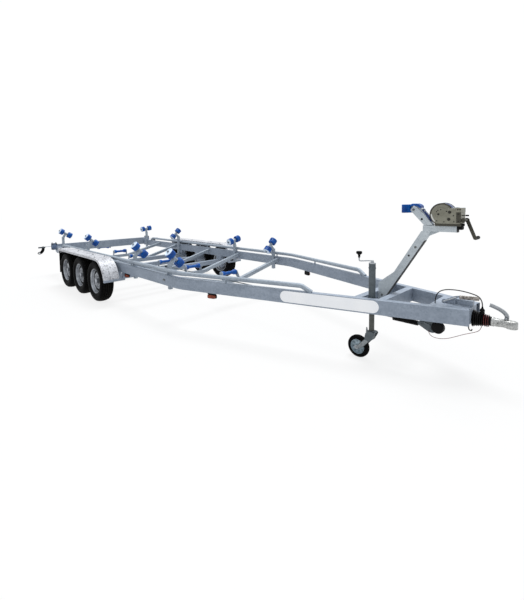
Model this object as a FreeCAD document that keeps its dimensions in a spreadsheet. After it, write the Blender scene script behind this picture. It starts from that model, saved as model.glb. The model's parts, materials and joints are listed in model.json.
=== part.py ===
import FreeCAD, Part
import math
import os
from types import SimpleNamespace

import Sketcher

# Three-axle boat trailer. +X points forward to the coupling, +Y to the left, +Z up, and the ground is
# at zero. Lengths are in millimetres. A name that ends in _at is a place along X from the front axle.

lengths = {
    # Main rails, which run straight and then taper to the nose
    "rail_height": 120,
    "rail_width": 60,
    "rail_wall": 4,
    "rail_half_spread": 955,
    "rail_rear_at": -2700,
    "bend_at": 1815,
    "bend_radius": 600,
    "nose_at": 4375,
    "nose_half_spread": 120,
    # Chord tubes above the rails
    "chord_radius": 22,
    "chord_rise": 52,
    "chord_rear_at": -2300,
    "chord_front_at": 3140,
    "chord_drop_length": 90,
    "chord_bend": 60,
    "chord_post_radius": 9,
    # Cross-members that dip to the middle, and what the keel rollers turn on
    "vee_section": 50,
    "vee_end_drop": 40,
    "vee_below": 95,
    "vee_flat_half": 160,
    "keel_roller_length": 250,
    "keel_roller_radius": 36,
    "keel_waist_radius": 22,
    "keel_flare": 70,
    "keel_pin_radius": 8,
    "keel_ear": 6,
    "keel_ear_half": 24,
    "keel_side_gap": 6,
    "pin_clearance": 0.08,
    # Rear beam, its lamps and the bars and arms of its marker lamps
    "beam_depth": 60,
    "beam_height": 155,
    "beam_rise": 50,
    "lamp_width": 200,
    "lamp_height": 110,
    "lamp_depth": 45,
    "lamp_edge": 25,
    "marker_bar_length": 270,
    "marker_bar_rise": 10,
    "marker_bar_width": 30,
    "marker_bar_sheet": 6,
    "marker_arm_inset": 50,
    "marker_arm_over": 50,
    "marker_arm_drop": 125,
    "marker_arm_thickness": 34,
    # Side rollers on posts
    "post_section": 40,
    "post_foot_drop": 62,
    "stem_reach": 100,
    "stem_width": 34,
    "stem_seat": 18,
    "side_roller_radius": 56,
    "side_roller_width": 78,
    "side_roller_spacing": 164,
    "side_shaft_radius": 12,
    "sleeve_radius": 21,
    "sleeve_length": 74,
    "side_edge": 9,
    # Wheels
    "axle_spacing": 640,
    "wheel_gap": 70,
    "tyre_radius": 298,
    "tyre_width": 185,
    "tyre_edge": 5,
    "tyre_shoulder": 25,
    "tread_half": 39,
    "bead_depth": 10,
    "rim_radius": 182,
    "rim_seat": 166,
    "rim_well": 150,
    "rim_half_width": 74,
    "rim_sheet": 5,
    "rim_ledge": 10,
    "dish_radius": 96,
    "drum_radius": 112,
    "drum_back": 40,
    "stub_radius": 17,
    "cap_radius": 32,
    "cap_reach": 64,
    "brake_gap": 5,
    # Axle beams on trailing arms
    "axle_section": 70,
    "axle_rise": 42,
    "axle_seat": 65,
    "arm_length": 150,
    "arm_thickness": 26,
    "arm_half": 32,
    "arm_gap": 15,
    "backplate": 4,
    # Mudguards and their flaps
    "guard_clearance": 42,
    "guard_sheet": 4,
    "guard_arc_at": 60,
    "guard_overhang": 340,
    "guard_foot_drop": 80,
    "guard_inside": 20,
    "guard_outside": 5,
    "guard_lip": 34,
    "guard_tail": 78,
    "flap_foot_height": 215,
    "flap_lap": 30,
    "flap_sheet": 6,
    "flap_edge": 15,
    # Brackets that hold the mudguards
    "bracket_width": 40,
    "bracket_sheet": 4,
    "bracket_foot": 40,
    "foot_arm_at": 384,
    "foot_arm_section": 36,
    "foot_arm_height": 30,
    # Front cross-members
    "nose_member_back": 585,
    "winch_member_back": 771,
    "member_width": 60,
    # Coupling
    "housing_length": 260,
    "hump_length": 160,
    "hump_half": 22,
    "hump_height": 40,
    "bellows_length": 120,
    "bellows_radius": 48,
    "neck_length": 118,
    "coupling_rise": 30,
    "head_radius": 34,
    "socket_radius": 25.4,
    "socket_depth": 28,
    "cup_radius": 37,
    "cup_height": 74,
    "lever_width": 24,
    "lever_rise": 98,
    "lever_sheet": 18,
    "lever_back": 139,
    "lever_neck": 36,
    "lever_elbow": 54,
    # Handbrake on the housing
    "quadrant_back": 113,
    "quadrant_length": 97,
    "quadrant_sheet": 8,
    "quadrant_side": 34,
    "grip_rise": 68,
    "grip_radius": 13,
    "grip_length": 158,
    # Brake rod and linkage below the nose
    "brake_rod_side": 160,
    "brake_rod_drop": 50,
    "brake_rod_radius": 6,
    "brake_rod_rear_at": 130,
    "brake_eye_length": 40,
    "brake_eye_width": 24,
    "spring_length": 204,
    "spring_radius": 18,
    "crank_plate_back": 341,
    "crank_plate_length": 166,
    "crank_plate_drop": 105,
    "crank_plate_sheet": 8,
    "brake_disc_back": 24,
    "brake_disc_radius": 32,
    "brake_disc_width": 50,
    # Winch post
    "post_foot_length": 70,
    "post_front_drop": 33,
    "post_flare_rise": 78,
    "post_waist_run": 140,
    "post_waist_rise": 192,
    "post_top_run": 361,
    "post_top_length": 71,
    "post_top_rise": 560,
    "winch_post_width": 60,
    "winch_arm_setback": 11,
    "winch_arm_length": 248,
    "winch_arm_height": 47,
    "gusset": 64,
    # Winch
    "drum_run": 141,
    "drum_clearance": 5,
    "drum_flange_radius": 84,
    "drum_core_radius": 45,
    "drum_half": 40,
    "drum_flange": 4,
    "drum_pin_radius": 10,
    "winch_floor": 4,
    "winch_cheek": 5,
    "winch_cheek_half": 50,
    "cheek_run": 84,
    "cheek_length": 233,
    "cheek_edge": 43,
    "crank_back": 23,
    "crank_depth": 45,
    "crank_gap": 5,
    "crank_reach": 56,
    "crank_drop": 141,
    "crank_bar": 10,
    "crank_grip_length": 100,
    "crank_grip_radius": 14,
    # Bow block and its arm
    "bow_back": 71,
    "bow_rise": 138,
    "bow_block_height": 70,
    "bow_apex_half": 18,
    "bow_wing_back": 65,
    "bow_wing_half": 75,
    "bow_wing_sheet": 20,
    "bow_arm_width": 30,
    "bow_arm_run": 24,
    "bow_arm_foot": 50,
    "bow_arm_end": 25,
    # Jockey wheel
    "jockey_ahead": 86,
    "jockey_inset": 80.428,
    "jockey_outer_radius": 28,
    "jockey_inner_radius": 22,
    "jockey_foot_drop": 15,
    "jockey_top_rise": 285,
    "jockey_inner_rise": 30,
    "jockey_inner_foot_height": 270,
    "jockey_pin_radius": 10,
    "jockey_trail": 119,
    "jockey_wheel_radius": 98,
    "jockey_wheel_half": 28,
    "jockey_rim_radius": 64,
    "jockey_tyre_edge": 12,
    "jockey_axle_radius": 8,
    "fork_plate": 6,
    "fork_side_gap": 6,
    "fork_crown": 34,
    "fork_shoulder": 44,
    "fork_foot": 18,
    "clamp_wall": 9,
    "clamp_height": 70,
    "clamp_web_width": 36,
    "hub_radius": 12,
    "hub_height": 24,
    "handle_reach": 98,
    "handle_radius": 6,
    "knob_stem": 30,
    "knob_stem_radius": 7.5,
    "knob_radius": 18,
    "knob_height": 52,
    # Lamps below the rails
    "side_lamp_length": 104,
    "side_lamp_width": 34,
    "side_lamp_height": 50,
    "side_lamp_front_at": 2238,
    "side_lamp_rear_at": 520,
    # Cables
    "cable_radius": 4,
    "plug_radius": 16,
    "plug_length": 55,
    "thin_cable_radius": 2,
    "overrun": 10,
}

# Places along X of what repeats, from the front axle
keel_stations = {
    "keel_one_at": 1507,
    "keel_two_at": 658,
    "keel_three_at": -131,
    "keel_four_at": -1236,
    "keel_five_at": -1938,
    "keel_six_at": -2814,
}
vee_stations = {
    "vee_one_at": 1577,
    "vee_two_at": 693,
    "vee_three_at": -135,
    "vee_four_at": -1277,
    "vee_five_at": -1940,
}
side_stations = {"side_one_at": 1510, "side_two_at": 622, "side_three_at": -1140, "side_four_at": -2510}
chord_posts = {
    "chord_post_one_at": 2371,
    "chord_post_two_at": 1539,
    "chord_post_three_at": 616,
    "chord_post_four_at": -450,
    "chord_post_five_at": -1400,
}
lengths |= keel_stations | vee_stations | side_stations | chord_posts

# How far the keel rollers' axes lie below the rails' tops, and how high the side rollers' above them
keel_drops = {
    "keel_one_drop": 123,
    "keel_two_drop": 136,
    "keel_three_drop": 140,
    "keel_four_drop": 148,
    "keel_five_drop": 124,
    "keel_six_drop": 108,
}
side_heights = {
    "side_one_height": 175,
    "side_two_height": 195,
    "side_three_height": 220,
    "side_four_height": 270,
}
lengths |= keel_drops | side_heights

axle_count = 3
bracket_shares = (1 / 2, 3 / 2)  # of the way from one axle to the next, behind the front axle
marker_tip_share = 1 / 4  # of the arm's thickness
quadrant_step_share = 2 / 3  # of the quadrant's length
crank_corner_share = 2 / 3  # of the plate's length
crank_nose_share = 1 / 4  # of the plate's drop
jockey_hub_share = 1 / 3  # of the jockey wheel's rim
run_share = 0.45  # of the shorter run beside an arc of a cable

# How far each side roller's shaft is tilted down to the middle, in degrees
side_tilts = {"right": (45, 45, 41, 30), "left": (44, 13, 42, 6)}

# Centre lines of the two cables, as places along X from the front axle, along Y and up
cable_route = [
    (4135, -98, 560),
    (4135, -98, 622),
    (4178, -92, 672),
    (4262, -75, 684),
    (4352, -50, 672),
    (4437, -22, 640),
    (4437, -22, 573),
]
thin_cable_route = [
    (4120, -164, 350),
    (4120, -195, 350),
    (4150, -212, 322),
    (4202, -198, 314),
    (4254, -176, 324),
    (4303, -150, 346),
    (4350, -120, 368),
    (4398, -92, 384),
    (4440, -66, 404),
    (4440, -33.94, 436.06),
]
for word, route in (("cable", cable_route), ("thin_cable", thin_cable_route)):
    for number, point in enumerate(route):
        lengths |= {f"{word}_{axis}_{number}": size for axis, size in zip("xyz", point)}


class Size:
    """A length, as its value and as the formula that the sheet's cells give it."""

    def __init__(self, value, text):
        self.value = float(value)
        self.text = text

    def __add__(self, other):
        other = sized(other)
        return Size(self.value + other.value, f"({self.text} + {other.text})")

    def __sub__(self, other):
        other = sized(other)
        return Size(self.value - other.value, f"({self.text} - {other.text})")

    def __mul__(self, other):
        other = sized(other)
        return Size(self.value * other.value, f"({self.text} * {other.text})")

    def __truediv__(self, other):
        other = sized(other)
        return Size(self.value / other.value, f"({self.text} / {other.text})")

    def __radd__(self, other):
        return sized(other) + self

    def __rsub__(self, other):
        return sized(other) - self

    def __rmul__(self, other):
        return sized(other) * self

    def __neg__(self):
        return Size(-self.value, f"(0 - {self.text})")

    def __float__(self):
        return self.value


def sized(number):
    return number if isinstance(number, Size) else Size(number, repr(number))


def root(size):
    return Size(math.sqrt(size.value), f"sqrt({size.text})")


doc = FreeCAD.newDocument("BoatTrailer")
sheet = doc.addObject("Spreadsheet::Sheet", "Sizes")
for row, (name, length) in enumerate(lengths.items(), start=1):
    sheet.set(f"A{row}", name)
    sheet.set(f"B{row}", str(length))
    sheet.setAlias(f"B{row}", name)
doc.recompute()
s = SimpleNamespace(**{name: Size(sheet.get(name), f"Sizes.{name}") for name in lengths})

nodes = []
right, left = -1, 1
zero = sized(0)
rear_reach = s.keel_roller_radius - s.keel_six_at
coupling_reach = s.nose_at + s.bellows_length + s.neck_length + s.cup_radius
shift = (rear_reach - coupling_reach) / 2  # the front axle's place from the middle of the trailer
taper = (s.rail_half_spread - s.nose_half_spread) / (s.nose_at - s.bend_at)
slant = root(1 + taper * taper)
axle_height = s.tyre_radius + s.axle_rise
rail_underside = axle_height + s.axle_section / 2 + s.axle_seat
rail_top = rail_underside + s.rail_height
rail_middle = rail_underside + s.rail_height / 2
rail_inside = s.rail_half_spread - s.rail_width / 2
rail_face = s.rail_half_spread + s.rail_width / 2
wheel_side = rail_face + s.wheel_gap + s.tyre_width / 2
guard_inner = wheel_side - s.tyre_width / 2 - s.guard_inside
guard_outer = wheel_side + s.tyre_width / 2 + s.guard_outside
guard_top = s.tyre_radius * 2 + s.guard_clearance
guard_foot = rail_underside - s.guard_foot_drop
coupling_height = rail_underside + s.coupling_rise
winch_member_at = s.nose_at - s.winch_member_back
jockey_at = winch_member_at + s.jockey_ahead
post_rear_at = winch_member_at + s.member_width / 2
post_top = rail_top + s.post_top_rise
arm_rear_at = post_rear_at + s.post_top_run + s.winch_arm_setback
arm_top = post_top + s.winch_arm_height


def rail_line(at):
    """Half the spread of the rails' centre lines, ahead of the bend."""
    return s.rail_half_spread - (at - s.bend_at) * taper


def inside_line(at):
    """Half the gap between the rails' inner faces, ahead of the bend."""
    return rail_line(at) - s.rail_width / 2 * slant


jockey_side = rail_line(jockey_at) - s.jockey_inset


def bind(thing, **sizes):
    for name, size in sizes.items():
        thing.setExpression(name, sized(size).text)


def move(thing, x=zero, y=zero, z=zero):
    for axis, size in zip("xyz", (x, y, z)):
        thing.setExpression(f".Placement.Base.{axis}", sized(size).text)
    return thing


def node(label, thing, x=shift, y=zero, z=zero):
    thing.Label = label
    nodes.append(move(thing, x, y, z))
    return thing


def box(name, size, corner):
    """A box of this size whose lowest corner is at corner."""
    thing = doc.addObject("Part::Box", name)
    bind(thing, Length=size[0], Width=size[1], Height=size[2])
    return move(thing, *corner)


turns = {
    "x": FreeCAD.Rotation(FreeCAD.Vector(0, 1, 0), 90),
    "y": FreeCAD.Rotation(FreeCAD.Vector(1, 0, 0), -90),
    "z": FreeCAD.Rotation(),
}


def rod(name, radius, length, start, along="z"):
    """A round bar from start, in the direction of a positive axis."""
    thing = doc.addObject("Part::Cylinder", name)
    bind(thing, Radius=radius, Height=length)
    thing.Placement = FreeCAD.Placement(FreeCAD.Vector(), turns[along])
    return move(thing, *start)


def join(name, things):
    thing = doc.addObject("Part::MultiFuse", name)
    thing.Shapes = things
    return thing


def group(name, things):
    thing = doc.addObject("Part::Compound", name)
    thing.Links = things
    return thing


def cut(name, base, tool):
    thing = doc.addObject("Part::Cut", name)
    thing.Base, thing.Tool = base, tool
    return thing


def mirrored(name, source):
    """The same piece on the other side of the trailer."""
    thing = doc.addObject("Part::Mirroring", name)
    thing.Source = source
    thing.Normal = FreeCAD.Vector(0, 1, 0)
    return thing


def body(name):
    return doc.addObject("PartDesign::Body", name)


def sketch(owner, name, plane, offset=zero):
    """A sketch on one of the body's own planes, moved along the plane's normal by offset."""
    drawing = owner.newObject("Sketcher::SketchObject", name)
    drawing.AttachmentSupport = [
        (next(f for f in owner.Origin.OriginFeatures if f.Role == plane), "")
    ]
    drawing.MapMode = "FlatFace"
    drawing.setExpression(".AttachmentOffset.Base.z", sized(offset).text)
    return drawing


def pin_point(drawing, edge, end, point):
    """Ties one end of an edge to a place given by two sizes."""
    for kind, size in zip(("DistanceX", "DistanceY"), point):
        size = sized(size)
        index = drawing.addConstraint(Sketcher.Constraint(kind, -1, 1, edge, end, size.value))
        drawing.setExpression(f"Constraints[{index}]", size.text)


def outline(drawing, points, arcs=()):
    """A closed outline. arcs gives, by the number of its first point, an arc's centre and radius."""
    arcs = dict(arcs)
    ends = []
    for number, start in enumerate(points):
        stop = points[(number + 1) % len(points)]
        first = FreeCAD.Vector(float(start[0]), float(start[1]))
        last = FreeCAD.Vector(float(stop[0]), float(stop[1]))
        if number in arcs:
            centre = FreeCAD.Vector(float(arcs[number][0]), float(arcs[number][1]))
            toward = (first + last) * 0.5 - centre
            middle = centre + toward.normalize() * (first - centre).Length
            onward = (middle - first).cross(last - middle).z > 0  # sketch arcs run anticlockwise
            arc = Part.Arc(first, middle, last) if onward else Part.Arc(last, middle, first)
            edge = drawing.addGeometry(arc, False)
            ends.append((edge, 1, 2) if onward else (edge, 2, 1))
        else:
            edge = drawing.addGeometry(Part.LineSegment(first, last), False)
            ends.append((edge, 1, 2))
    for number, (edge, _, far) in enumerate(ends):
        after, near, _ = ends[(number + 1) % len(ends)]
        drawing.addConstraint(Sketcher.Constraint("Coincident", edge, far, after, near))
    for (edge, near, _), point in zip(ends, points):
        pin_point(drawing, edge, near, point)
    for number, (_, _, radius) in arcs.items():
        edge = ends[number][0]
        index = drawing.addConstraint(Sketcher.Constraint("Radius", edge, float(radius)))
        drawing.setExpression(f"Constraints[{index}]", sized(radius).text)


def pad(owner, name, drawing, length):
    feature = owner.newObject("PartDesign::Pad", name)
    feature.Profile = drawing
    bind(feature, Length=length)
    feature.Midplane = True


def plate(name, plane, points, thickness, offset=zero, arcs=()):
    """A flat piece of any outline, as thick on each side of its plane."""
    owner = body(name)
    drawing = sketch(owner, f"{name}_outline", plane, offset)
    outline(drawing, points, arcs)
    pad(owner, f"{name}_pad", drawing, thickness)
    return owner


def turned(name, profile, arcs=()):
    """A round piece about the Y axis. The profile gives radius and place along Y."""
    owner = body(name)
    drawing = sketch(owner, f"{name}_profile", "XY_Plane")
    outline(drawing, profile, arcs)
    feature = owner.newObject("PartDesign::Revolution", f"{name}_turn")
    feature.Profile = drawing
    feature.ReferenceAxis = (
        next(f for f in owner.Origin.OriginFeatures if f.Role == "Y_Axis"),
        [""],
    )
    feature.Angle = 360
    return owner


def tube_path(points, bends):
    """Straight runs joined by arcs: bends gives the radius at each point between two runs."""
    edges = []
    start = points[0]
    for before, corner, after, radius in zip(points, points[1:], points[2:], bends):
        back = (before - corner).normalize()
        ahead = (after - corner).normalize()
        half = back.getAngle(ahead) / 2
        reach = radius / math.tan(half)
        enter, leave = corner + back * reach, corner + ahead * reach
        inward = (back + ahead).normalize()
        middle = corner + inward * (radius / math.sin(half) - radius)
        edges.append(Part.LineSegment(start, enter).toShape())
        edges.append(Part.Arc(enter, middle, leave).toShape())
        start = leave
    edges.append(Part.LineSegment(start, points[-1]).toShape())
    return Part.Wire(edges)


def tube(points, bends, radius):
    """A solid round bar along a path."""
    path = tube_path(points, bends)
    ring = Part.Circle(points[0], points[1] - points[0], radius).toShape()
    shell = path.makePipeShell([Part.Wire([ring])], True, False)
    return shell


def spot(x, y, z):
    return FreeCAD.Vector(float(x), float(y), float(z))


def made(name, shape):
    thing = doc.addObject("Part::Feature", name)
    thing.Shape = shape
    return thing


def both_sides(label, thing):
    return node(label, group(label, [thing, mirrored(f"{label}_other", thing)]))


# Main rails: a hollow section carried along the rail's plan line
def main_rails():
    owner = body("rail")
    line = sketch(owner, "rail_line", "XY_Plane", rail_middle)
    reach = float(s.bend_radius) * math.tan(math.atan(float(taper)) / 2)
    back = FreeCAD.Vector(float(s.rail_rear_at), -float(s.rail_half_spread))
    corner = FreeCAD.Vector(float(s.bend_at), -float(s.rail_half_spread))
    front = FreeCAD.Vector(float(s.nose_at), -float(s.nose_half_spread))
    ahead = (front - corner).normalize()
    enter, leave = corner - FreeCAD.Vector(reach, 0), corner + ahead * reach
    centre = enter + FreeCAD.Vector(0, float(s.bend_radius))
    toward = (enter + leave) * 0.5 - centre
    middle = centre + toward.normalize() * float(s.bend_radius)
    line.addGeometry(Part.LineSegment(back, enter), False)
    line.addGeometry(Part.Arc(enter, middle, leave), False)
    line.addGeometry(Part.LineSegment(leave, front), False)
    pin_point(line, 0, 1, (s.rail_rear_at, -s.rail_half_spread))
    line.addConstraint(Sketcher.Constraint("Horizontal", 0))
    line.addConstraint(Sketcher.Constraint("Tangent", 0, 2, 1, 1))
    line.addConstraint(Sketcher.Constraint("Tangent", 1, 2, 2, 1))
    index = line.addConstraint(Sketcher.Constraint("Radius", 1, float(s.bend_radius)))
    line.setExpression(f"Constraints[{index}]", s.bend_radius.text)
    pin_point(line, 2, 2, (s.nose_at, -s.nose_half_spread))
    index = line.addConstraint(Sketcher.Constraint("Angle", 2, math.atan(float(taper))))
    line.setExpression(f"Constraints[{index}]", f"atan({taper.text})")
    section = sketch(owner, "rail_section", "YZ_Plane", s.rail_rear_at)
    for inset in (zero, s.rail_wall):
        near = -s.rail_half_spread - s.rail_width / 2 + inset
        far = -s.rail_half_spread + s.rail_width / 2 - inset
        low, high = rail_underside + inset, rail_top - inset
        outline(section, [(near, low), (far, low), (far, high), (near, high)])
    pipe = owner.newObject("PartDesign::AdditivePipe", "rail_pipe")
    pipe.Profile = section
    pipe.Spine = (line, ["Edge1", "Edge2", "Edge3"])
    both_sides("main_rails", owner)


# Chord tubes: the rail's plan line again, higher, with both ends bent down to the rail
def chord_rails():
    side = -float(s.rail_half_spread)
    low, high = float(rail_top), float(rail_top + s.chord_rise)
    foot = s.chord_front_at + s.chord_drop_length
    points = [
        spot(s.chord_rear_at - s.chord_drop_length, side, low),
        spot(s.chord_rear_at, side, high),
        spot(s.bend_at, side, high),
        spot(s.chord_front_at, -rail_line(s.chord_front_at), high),
        spot(foot, -rail_line(foot), low),
    ]
    bends = [float(s.chord_bend), float(s.bend_radius), float(s.chord_bend)]
    shape = tube(points, bends, float(s.chord_radius))
    for at in chord_posts:
        at = getattr(s, at)
        side = s.rail_half_spread if at.value < s.bend_at.value else rail_line(at)
        shape = shape.fuse(
            Part.makeCylinder(float(s.chord_post_radius), high - low, spot(at, -side, low))
        )
    beneath = Part.makeBox(
        float(coupling_reach + rear_reach),
        float(s.rail_half_spread * 2),
        low,
        spot(-rear_reach, -s.rail_half_spread * 2, zero),
    )
    both_sides("chord_rails", made("chord", shape.cut(beneath)))


# Cross-members that dip to the middle, each with the ears and pin of a keel roller
def keel_ears(name, at, axis_height, seat):
    """Two ears and a pin about the roller's axis. Seat gives the corners that stand on the member."""
    ear_middle = s.keel_roller_length / 2 + s.keel_side_gap + s.keel_ear / 2
    half = s.keel_ear_half
    ears = [
        plate(
            f"{name}_ear_{word}",
            "XZ_Plane",
            [(at - half, axis_height + half), (at - half, axis_height - half)]
            + seat
            + [(at + half, axis_height + half)],
            s.keel_ear,
            offset=way * ear_middle,
        )
        for word, way in (("right", right), ("left", left))
    ]
    span = ear_middle * 2 + s.keel_ear
    pin = rod(f"{name}_pin", s.keel_pin_radius, span, (at, -span / 2, axis_height), "y")
    return ears + [pin]


def keel_crossmembers():
    members = []
    half = s.vee_section / 2
    flat = s.vee_flat_half
    high = rail_top - s.vee_end_drop
    for keel, vee, drop in zip(keel_stations, vee_stations, keel_drops):
        at, axis_height = getattr(s, vee), rail_top - getattr(s, drop)
        low = axis_height - s.vee_below
        bent = plate(
            f"{vee}_bent",
            "YZ_Plane",
            [
                (-rail_inside, high + half),
                (-rail_inside, high - half),
                (-flat, low - half),
                (flat, low - half),
                (rail_inside, high - half),
                (rail_inside, high + half),
                (flat, low + half),
                (-flat, low + half),
            ],
            s.vee_section,
            offset=at,
        )
        seat = [(at - half, low), (at + half, low)]
        ears = keel_ears(keel, getattr(s, keel), axis_height, seat)
        members.append(join(f"{vee}_member", [bent] + ears))
    node("keel_crossmembers", group("keel_crossmembers", members))


def keel_rollers():
    half = s.keel_roller_length / 2
    bore = s.keel_pin_radius + s.pin_clearance
    for number, (name, drop) in enumerate(zip(keel_stations, keel_drops), start=1):
        roller = turned(
            f"keel_roller_{number}",
            [
                (bore, -half),
                (s.keel_roller_radius, -half),
                (s.keel_roller_radius, -half + s.keel_flare / 2),
                (s.keel_waist_radius, -half + s.keel_flare),
                (s.keel_waist_radius, half - s.keel_flare),
                (s.keel_roller_radius, half - s.keel_flare / 2),
                (s.keel_roller_radius, half),
                (bore, half),
            ],
        )
        height = rail_top - getattr(s, drop)
        node(f"keel_roller_{number}", roller, shift + getattr(s, name), zero, height)


# Rear beam across the rails' ends, with the last keel roller's ears and the marker lamps' bars
def rear_beam():
    low = rail_top + s.beam_rise - s.beam_height
    size = (s.beam_depth, rail_face * 2, s.beam_height)
    beam = box("beam", size, (s.rail_rear_at - s.beam_depth, -rail_face, low))
    front = s.rail_rear_at - s.beam_depth / 2
    height = rail_top - s.keel_six_drop
    seat = [(front, height - s.keel_ear_half), (front, low + s.beam_height / 2)]
    pieces = [beam] + keel_ears("beam", s.keel_six_at, height, seat)
    size = (s.marker_bar_width, s.marker_bar_length, s.marker_bar_sheet)
    for word, start in (("right", -rail_face - s.marker_bar_length), ("left", rail_face)):
        corner = (front - s.marker_bar_width / 2, start, rail_top + s.marker_bar_rise)
        pieces.append(box(f"marker_bar_{word}", size, corner))
    node("rear_crossbeam", join("rear_crossbeam", pieces))


def marker_arms():
    """Soft arms that hang from the bars and curve outward."""
    top, reach = rail_top + s.marker_bar_rise, rail_face + s.marker_bar_length
    tip, start = reach + s.marker_arm_over, reach - s.marker_arm_inset
    wide = s.marker_arm_thickness
    low = top - s.marker_arm_drop
    arm = plate(
        "marker_arm",
        "YZ_Plane",
        [
            (-start - wide, top),
            (-start, top),
            (-start, low + wide),
            (-start - wide / 2, low),
            (-tip, low - wide * marker_tip_share),
            (-tip, low + wide / 2),
            (-start - wide, low + wide),
        ],
        wide,
        offset=s.rail_rear_at - s.beam_depth / 2,
    )
    both_sides("marker_arms", arm)


def lamps():
    rear = box(
        "rear_lamp",
        (s.lamp_depth, s.lamp_width, s.lamp_height),
        (
            s.rail_rear_at - s.beam_depth - s.lamp_depth,
            -s.rail_half_spread,
            rail_top + s.beam_rise - s.lamp_edge - s.lamp_height,
        ),
    )
    both_sides("rear_lamps", rear)
    size = (s.side_lamp_length, s.side_lamp_width, s.side_lamp_height)
    low = rail_underside - s.side_lamp_height
    below = [
        box(f"side_lamp_{word}", size, (at - s.side_lamp_length / 2, -line - s.side_lamp_width / 2, low))
        for word, at, line in (
            ("front", s.side_lamp_front_at, rail_line(s.side_lamp_front_at)),
            ("rear", s.side_lamp_rear_at, s.rail_half_spread),
        )
    ]
    both_sides("side_markers", group("side_lamps", below))


# Side rollers: a pair on one slanted shaft in the sleeve at the head of each post
post_side = rail_inside - s.post_section / 2


def tilted(thing, tilt):
    """Turns a piece about X by so many degrees."""
    thing.Placement = FreeCAD.Placement(FreeCAD.Vector(), FreeCAD.Rotation(FreeCAD.Vector(1, 0, 0), tilt))
    return thing


def roller_side(tilt):
    return post_side - s.stem_reach * math.sin(math.radians(tilt))


def side_roller_posts():
    posts = []
    half, foot = s.post_section / 2, rail_underside - s.post_foot_drop
    for word, way in (("right", right), ("left", left)):
        for tilt, station, rise in zip(side_tilts[word], side_stations, side_heights):
            at, height = getattr(s, station), rail_top + getattr(s, rise)
            name = f"{station}_{word}"
            start = (zero, -s.sleeve_length / 2, zero)
            sleeve = rod(f"{name}_sleeve", s.sleeve_radius, s.sleeve_length, start, "y")
            stem = box(
                f"{name}_stem",
                (s.post_section, s.stem_width, s.stem_reach),
                (-half, -s.stem_width / 2, -s.stem_reach),
            )
            bore = rod(
                f"{name}_bore",
                s.side_shaft_radius + s.pin_clearance,
                s.sleeve_length,
                start,
                "y",
            )
            head = cut(f"{name}_head", join(f"{name}_turned", [sleeve, stem]), bore)
            move(tilted(head, way * tilt), at, way * roller_side(tilt), height)
            top = height - s.stem_reach * math.cos(math.radians(tilt)) + s.stem_seat
            column = box(
                f"{name}_column",
                (s.post_section, s.post_section, top - foot),
                (at - half, way * post_side - half, foot),
            )
            posts.append(join(f"{name}_post", [head, column]))
    node("side_roller_posts", group("side_roller_posts", posts))


def side_rollers():
    mid = s.side_roller_spacing / 2
    half = s.side_roller_width / 2
    radius, shaft, edge = s.side_roller_radius, s.side_shaft_radius, s.side_edge
    for word, way in (("right", right), ("left", left)):
        stations = zip(side_tilts[word], side_stations, side_heights)
        for number, (tilt, station, rise) in enumerate(stations, start=1):
            label = f"side_rollers_{word}_{number}"
            rollers = turned(
                label,
                [
                    (zero, -mid - half),
                    (radius - edge, -mid - half),
                    (radius, -mid - half + edge),
                    (radius, -mid + half - edge),
                    (radius - edge, -mid + half),
                    (shaft, -mid + half),
                    (shaft, mid - half),
                    (radius - edge, mid - half),
                    (radius, mid - half + edge),
                    (radius, mid + half - edge),
                    (radius - edge, mid + half),
                    (zero, mid + half),
                ],
            )
            at, height = getattr(s, station), rail_top + getattr(s, rise)
            node(label, tilted(rollers, way * tilt), shift + at, way * roller_side(tilt), height)


# Road wheels
def wheel(word, way, number):
    at = shift - number * s.axle_spacing
    half, seat, well, sheet = s.rim_half_width, s.rim_seat, s.rim_well, s.rim_sheet
    lip = s.rim_radius
    turn = FreeCAD.Rotation(FreeCAD.Vector(0, 0, 1), 0 if way == right else 180)
    tyre_half = s.tyre_width / 2
    crown = s.tyre_radius
    bead = half - s.bead_depth
    flank = (lip + crown) / 2
    near_half = [
        (seat, bead),
        (lip + sheet, bead),
        (lip + sheet, half + sheet),
        (flank, tyre_half),
        (crown - s.tyre_shoulder, tyre_half - s.tyre_edge),
        (crown - s.tyre_edge, tyre_half - s.tyre_shoulder),
        (crown, s.tread_half),
    ]
    far_half = [(radius, -place) for radius, place in near_half]
    tyre = turned(f"tyre_{word}_{number + 1}", far_half + near_half[::-1])
    tyre.Placement = FreeCAD.Placement(FreeCAD.Vector(), turn)
    node(f"tyre_{word}_{number + 1}", tyre, at, way * wheel_side, s.tyre_radius)
    face = half / 2
    ledge = s.rim_ledge
    rim = turned(
        f"rim_{word}_{number + 1}",
        [
            (lip, -half - sheet / 2),
            (lip, -half + sheet / 2),
            (seat, -half + sheet),
            (seat, -face),
            (well, -face + ledge),
            (well, face - ledge),
            (seat, face),
            (seat, half - sheet),
            (lip, half - sheet / 2),
            (lip, half + sheet / 2),
            (seat - sheet, half),
            (seat - sheet, face + sheet),
            (well - sheet, face - sheet),
            (well - sheet, sheet),
            (s.drum_radius, -face / 2),
            (s.drum_radius, s.drum_back),
            (s.stub_radius + s.pin_clearance, s.drum_back),
            (s.stub_radius + s.pin_clearance, zero),
            (zero, zero),
            (zero, -s.cap_reach),
            (s.cap_radius - sheet, -s.cap_reach),
            (s.cap_radius, -s.cap_reach + sheet),
            (s.cap_radius, -face),
            (s.dish_radius, -face),
            (s.drum_radius, -face - ledge),
            (well - sheet, -sheet),
            (well - sheet, -face + sheet),
            (seat - sheet, -face - sheet),
            (seat - sheet, -half),
        ],
    )
    rim.Placement = FreeCAD.Placement(FreeCAD.Vector(), turn)
    node(f"rim_{word}_{number + 1}", rim, at, way * wheel_side, s.tyre_radius)


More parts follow.
